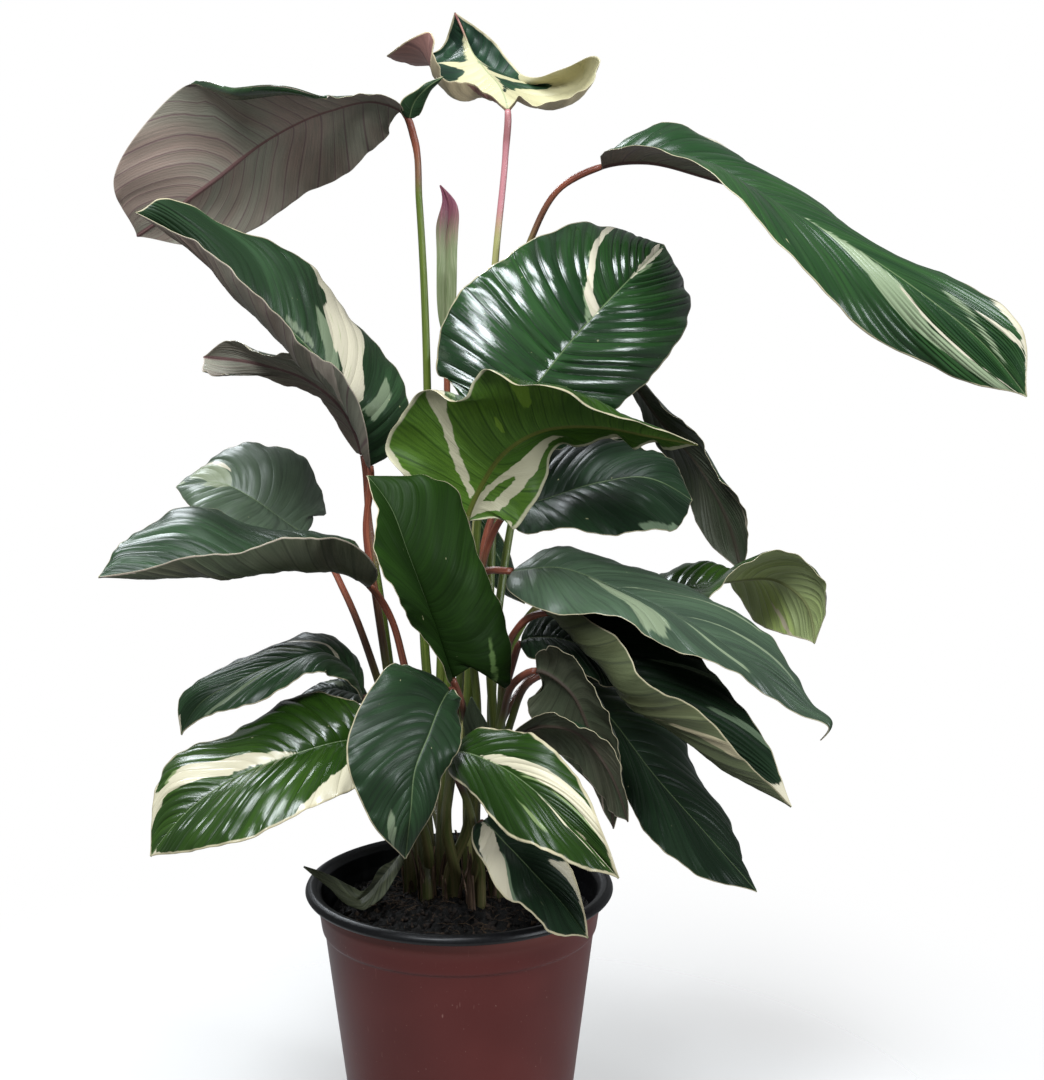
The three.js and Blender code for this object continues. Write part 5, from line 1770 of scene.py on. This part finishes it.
def rolled_share(name, sheet):
    """1 where a rolled edge folds over, which stays free of waves, and 0 elsewhere."""
    if name not in ROLLS:
        return 0
    side, begin, end, _ = ROLLS[name]
    u = sheet["u"]
    rolled = smoothstep(u, begin, begin + FOLD_SETTLES)
    rolled = rolled * (1 - smoothstep(u, end - FOLD_SETTLES, end))
    return rolled * ((sheet["v"] >= 0) == bool(side)) * smoothstep(sheet["out"], 0.6, 0.8)


def add_relief(name, sheet):
    """The sheet with sunken side veins, gentle waves and a faintly uneven edge."""
    shifts = np.random.default_rng(RELIEF_SEED + sheet["number"]).uniform(size=4)
    lift = pleated(name, sheet, shifts) + swaying(sheet, shifts)
    lift = lift + ruffled(sheet, shifts) + frilled(name, sheet)
    lift = lift * (1 - rolled_share(name, sheet))
    return sheet["points"] + sheet["up"] * lift[..., None]


def blade_surfaces(name, sheet):
    """Upper and under surface of a blade, with its midrib sunk above and raised below."""
    points = add_relief(name, sheet)
    from_rib = sheet["from_rib"]
    u = sheet["u"]
    thin = HALF_THICKNESS * (1 - 0.5 * smoothstep(sheet["out"], 0.9, 1))
    groove = MIDRIB_GROOVE * np.exp(-((from_rib / MIDRIB_GROOVE_WIDTH) ** 2))
    base, tip = MIDRIB_RIDGE
    wide, narrow = MIDRIB_RIDGE_WIDTH
    ridge = base - (base - tip) * u ** 0.6
    ridge = ridge * np.exp(-((from_rib / (wide - (wide - narrow) * u)) ** 2))
    upper = points + sheet["up"] * (thin - groove)[..., None]
    lower = points - sheet["up"] * (thin + ridge)[..., None]
    return np.concatenate([upper.reshape(-1, 3), lower.reshape(-1, 3)])


def blade_fields(name, sheet):
    """What the materials read at each point of a blade."""
    u = sheet["u"]
    cream, pale = patch_depths(name, sheet)
    fields = {
        "vein": sheet["vein"],
        "rib_mm": sheet["from_rib"],
        "margins_in": (sheet["width"] - sheet["from_rib"]) / LOOKS[name][4],
        "along": u,
        "spread": sheet["spread"],
        "pleats": np.full(u.shape, min(1, LOOKS[name][3])),
        "cream_mm": cream,
        "pale_mm": pale,
    }
    fields = {key: np.tile(values.ravel(), 2) for key, values in fields.items()}
    shift = np.full(u.shape, sheet["number"] * NOISE_SHIFT)
    place = np.stack([sheet["s"] * sheet["length"], sheet["v"] * sheet["width"], shift], axis=-1)
    fields["place"] = np.tile(place.reshape(-1, 3), (2, 1))
    return fields


def make_blade(name, number, looks):
    sheet = blade_sheet(name, number)
    rows, columns = sheet["u"].shape
    faces = sheet_faces(rows, columns)
    one_side = (rows - 1) * (columns - 1)
    kinds = np.zeros(len(faces))
    kinds[one_side:2 * one_side] = 1
    above, below = LOOKS[name][:2]
    materials = [looks["upper_" + above], looks["under_" + below]]
    points = blade_surfaces(name, sheet)
    fields = blade_fields(name, sheet)
    blade = add_mesh("blade_" + name, points, faces, materials, kinds, fields)
    stand_for(blade, LEAF_SLOTS.get(name, "blade"), "leaf_" + name)


def make_blades():
    looks = {"upper_" + name: upper_look(name) for name in UPPERS}
    looks.update({"under_" + name: under_look(name) for name in UNDERS})
    for name in DRY_LEAVES:
        looks["upper_" + name] = looks["under_" + name] = dry_look(name)
    looks["upper_spear"] = looks["under_spear"] = spear_look()
    for number, name in enumerate(LEAVES):
        make_blade(name, number, looks)


# Room, light and camera

def make_floor():
    """A pale floor that fades into the room round the plant."""
    look = Shader("floor")
    place = look.object_place()
    distance = look.node("ShaderNodeVectorMath", {0: place}, operation="LENGTH").outputs["Value"]
    colour = look.mix(look.noise(place, 3), *FLOOR_GREY)
    look.finish(colour, 0.8, Specular_IOR_Level=0.1, Alpha=look.ramp(distance, 0.1, 0.5, 0.6, 0.0))
    bpy.ops.mesh.primitive_circle_add(
        vertices=96, radius=FLOOR_RADIUS, fill_type="NGON", location=(0, 0, -FLOOR_GAP),
    )
    floor = bpy.context.object
    floor.name = "floor"
    floor.data.materials.append(look.material)
    floor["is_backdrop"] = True


def add_lamp(name, place, size, power):
    light = bpy.data.lights.new(name, "AREA")
    light.energy = power
    light.color = LAMP_COLOUR
    light.shape = "RECTANGLE"
    light.size, light.size_y = size
    lamp = bpy.data.objects.new(name, light)
    lamp.location = place
    aim = Vector(LAMP_TARGET) - Vector(place)
    lamp.rotation_euler = aim.to_track_quat("-Z", "Y").to_euler()
    bpy.context.collection.objects.link(lamp)


def light_room():
    world = bpy.data.worlds.new("room")
    bpy.context.scene.world = world
    world.use_nodes = True
    tree = world.node_tree
    room = tree.nodes["Background"]
    room.inputs["Color"].default_value = ROOM_COLOUR
    room.inputs["Strength"].default_value = ROOM_STRENGTH
    backdrop = tree.nodes.new("ShaderNodeBackground")
    backdrop.inputs["Color"].default_value = BACKDROP_COLOUR
    seen = tree.nodes.new("ShaderNodeLightPath")
    both = tree.nodes.new("ShaderNodeMixShader")
    tree.links.new(seen.outputs["Is Camera Ray"], both.inputs[0])
    tree.links.new(room.outputs[0], both.inputs[1])
    tree.links.new(backdrop.outputs[0], both.inputs[2])
    tree.links.new(both.outputs[0], tree.nodes["World Output"].inputs["Surface"])
    for name, (place, size, power) in LAMPS.items():
        add_lamp(name, place, size, power)


def set_camera():
    data = bpy.data.cameras.new("camera")
    data.lens = CAMERA_LENS
    data.sensor_width = SENSOR_WIDTH
    camera = bpy.data.objects.new("camera", data)
    camera.location = CAMERA_PLACE
    camera.rotation_euler = (math.pi / 2 - CAMERA_PITCH, 0, 0)
    bpy.context.collection.objects.link(camera)
    bpy.context.scene.camera = camera
    bpy.context.scene.view_settings.view_transform = "Standard"


def write_size():
    bpy.context.view_layer.update()
    boxes = {"cad": CAD_BOX, "visual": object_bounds()}
    {key: [list(corner) for corner in box] for key, box in boxes.items()}


make_floor()
make_pot()
make_mix()
make_chips()
make_fibres()
make_stems()
make_blades()
light_room()
set_camera()
write_size()
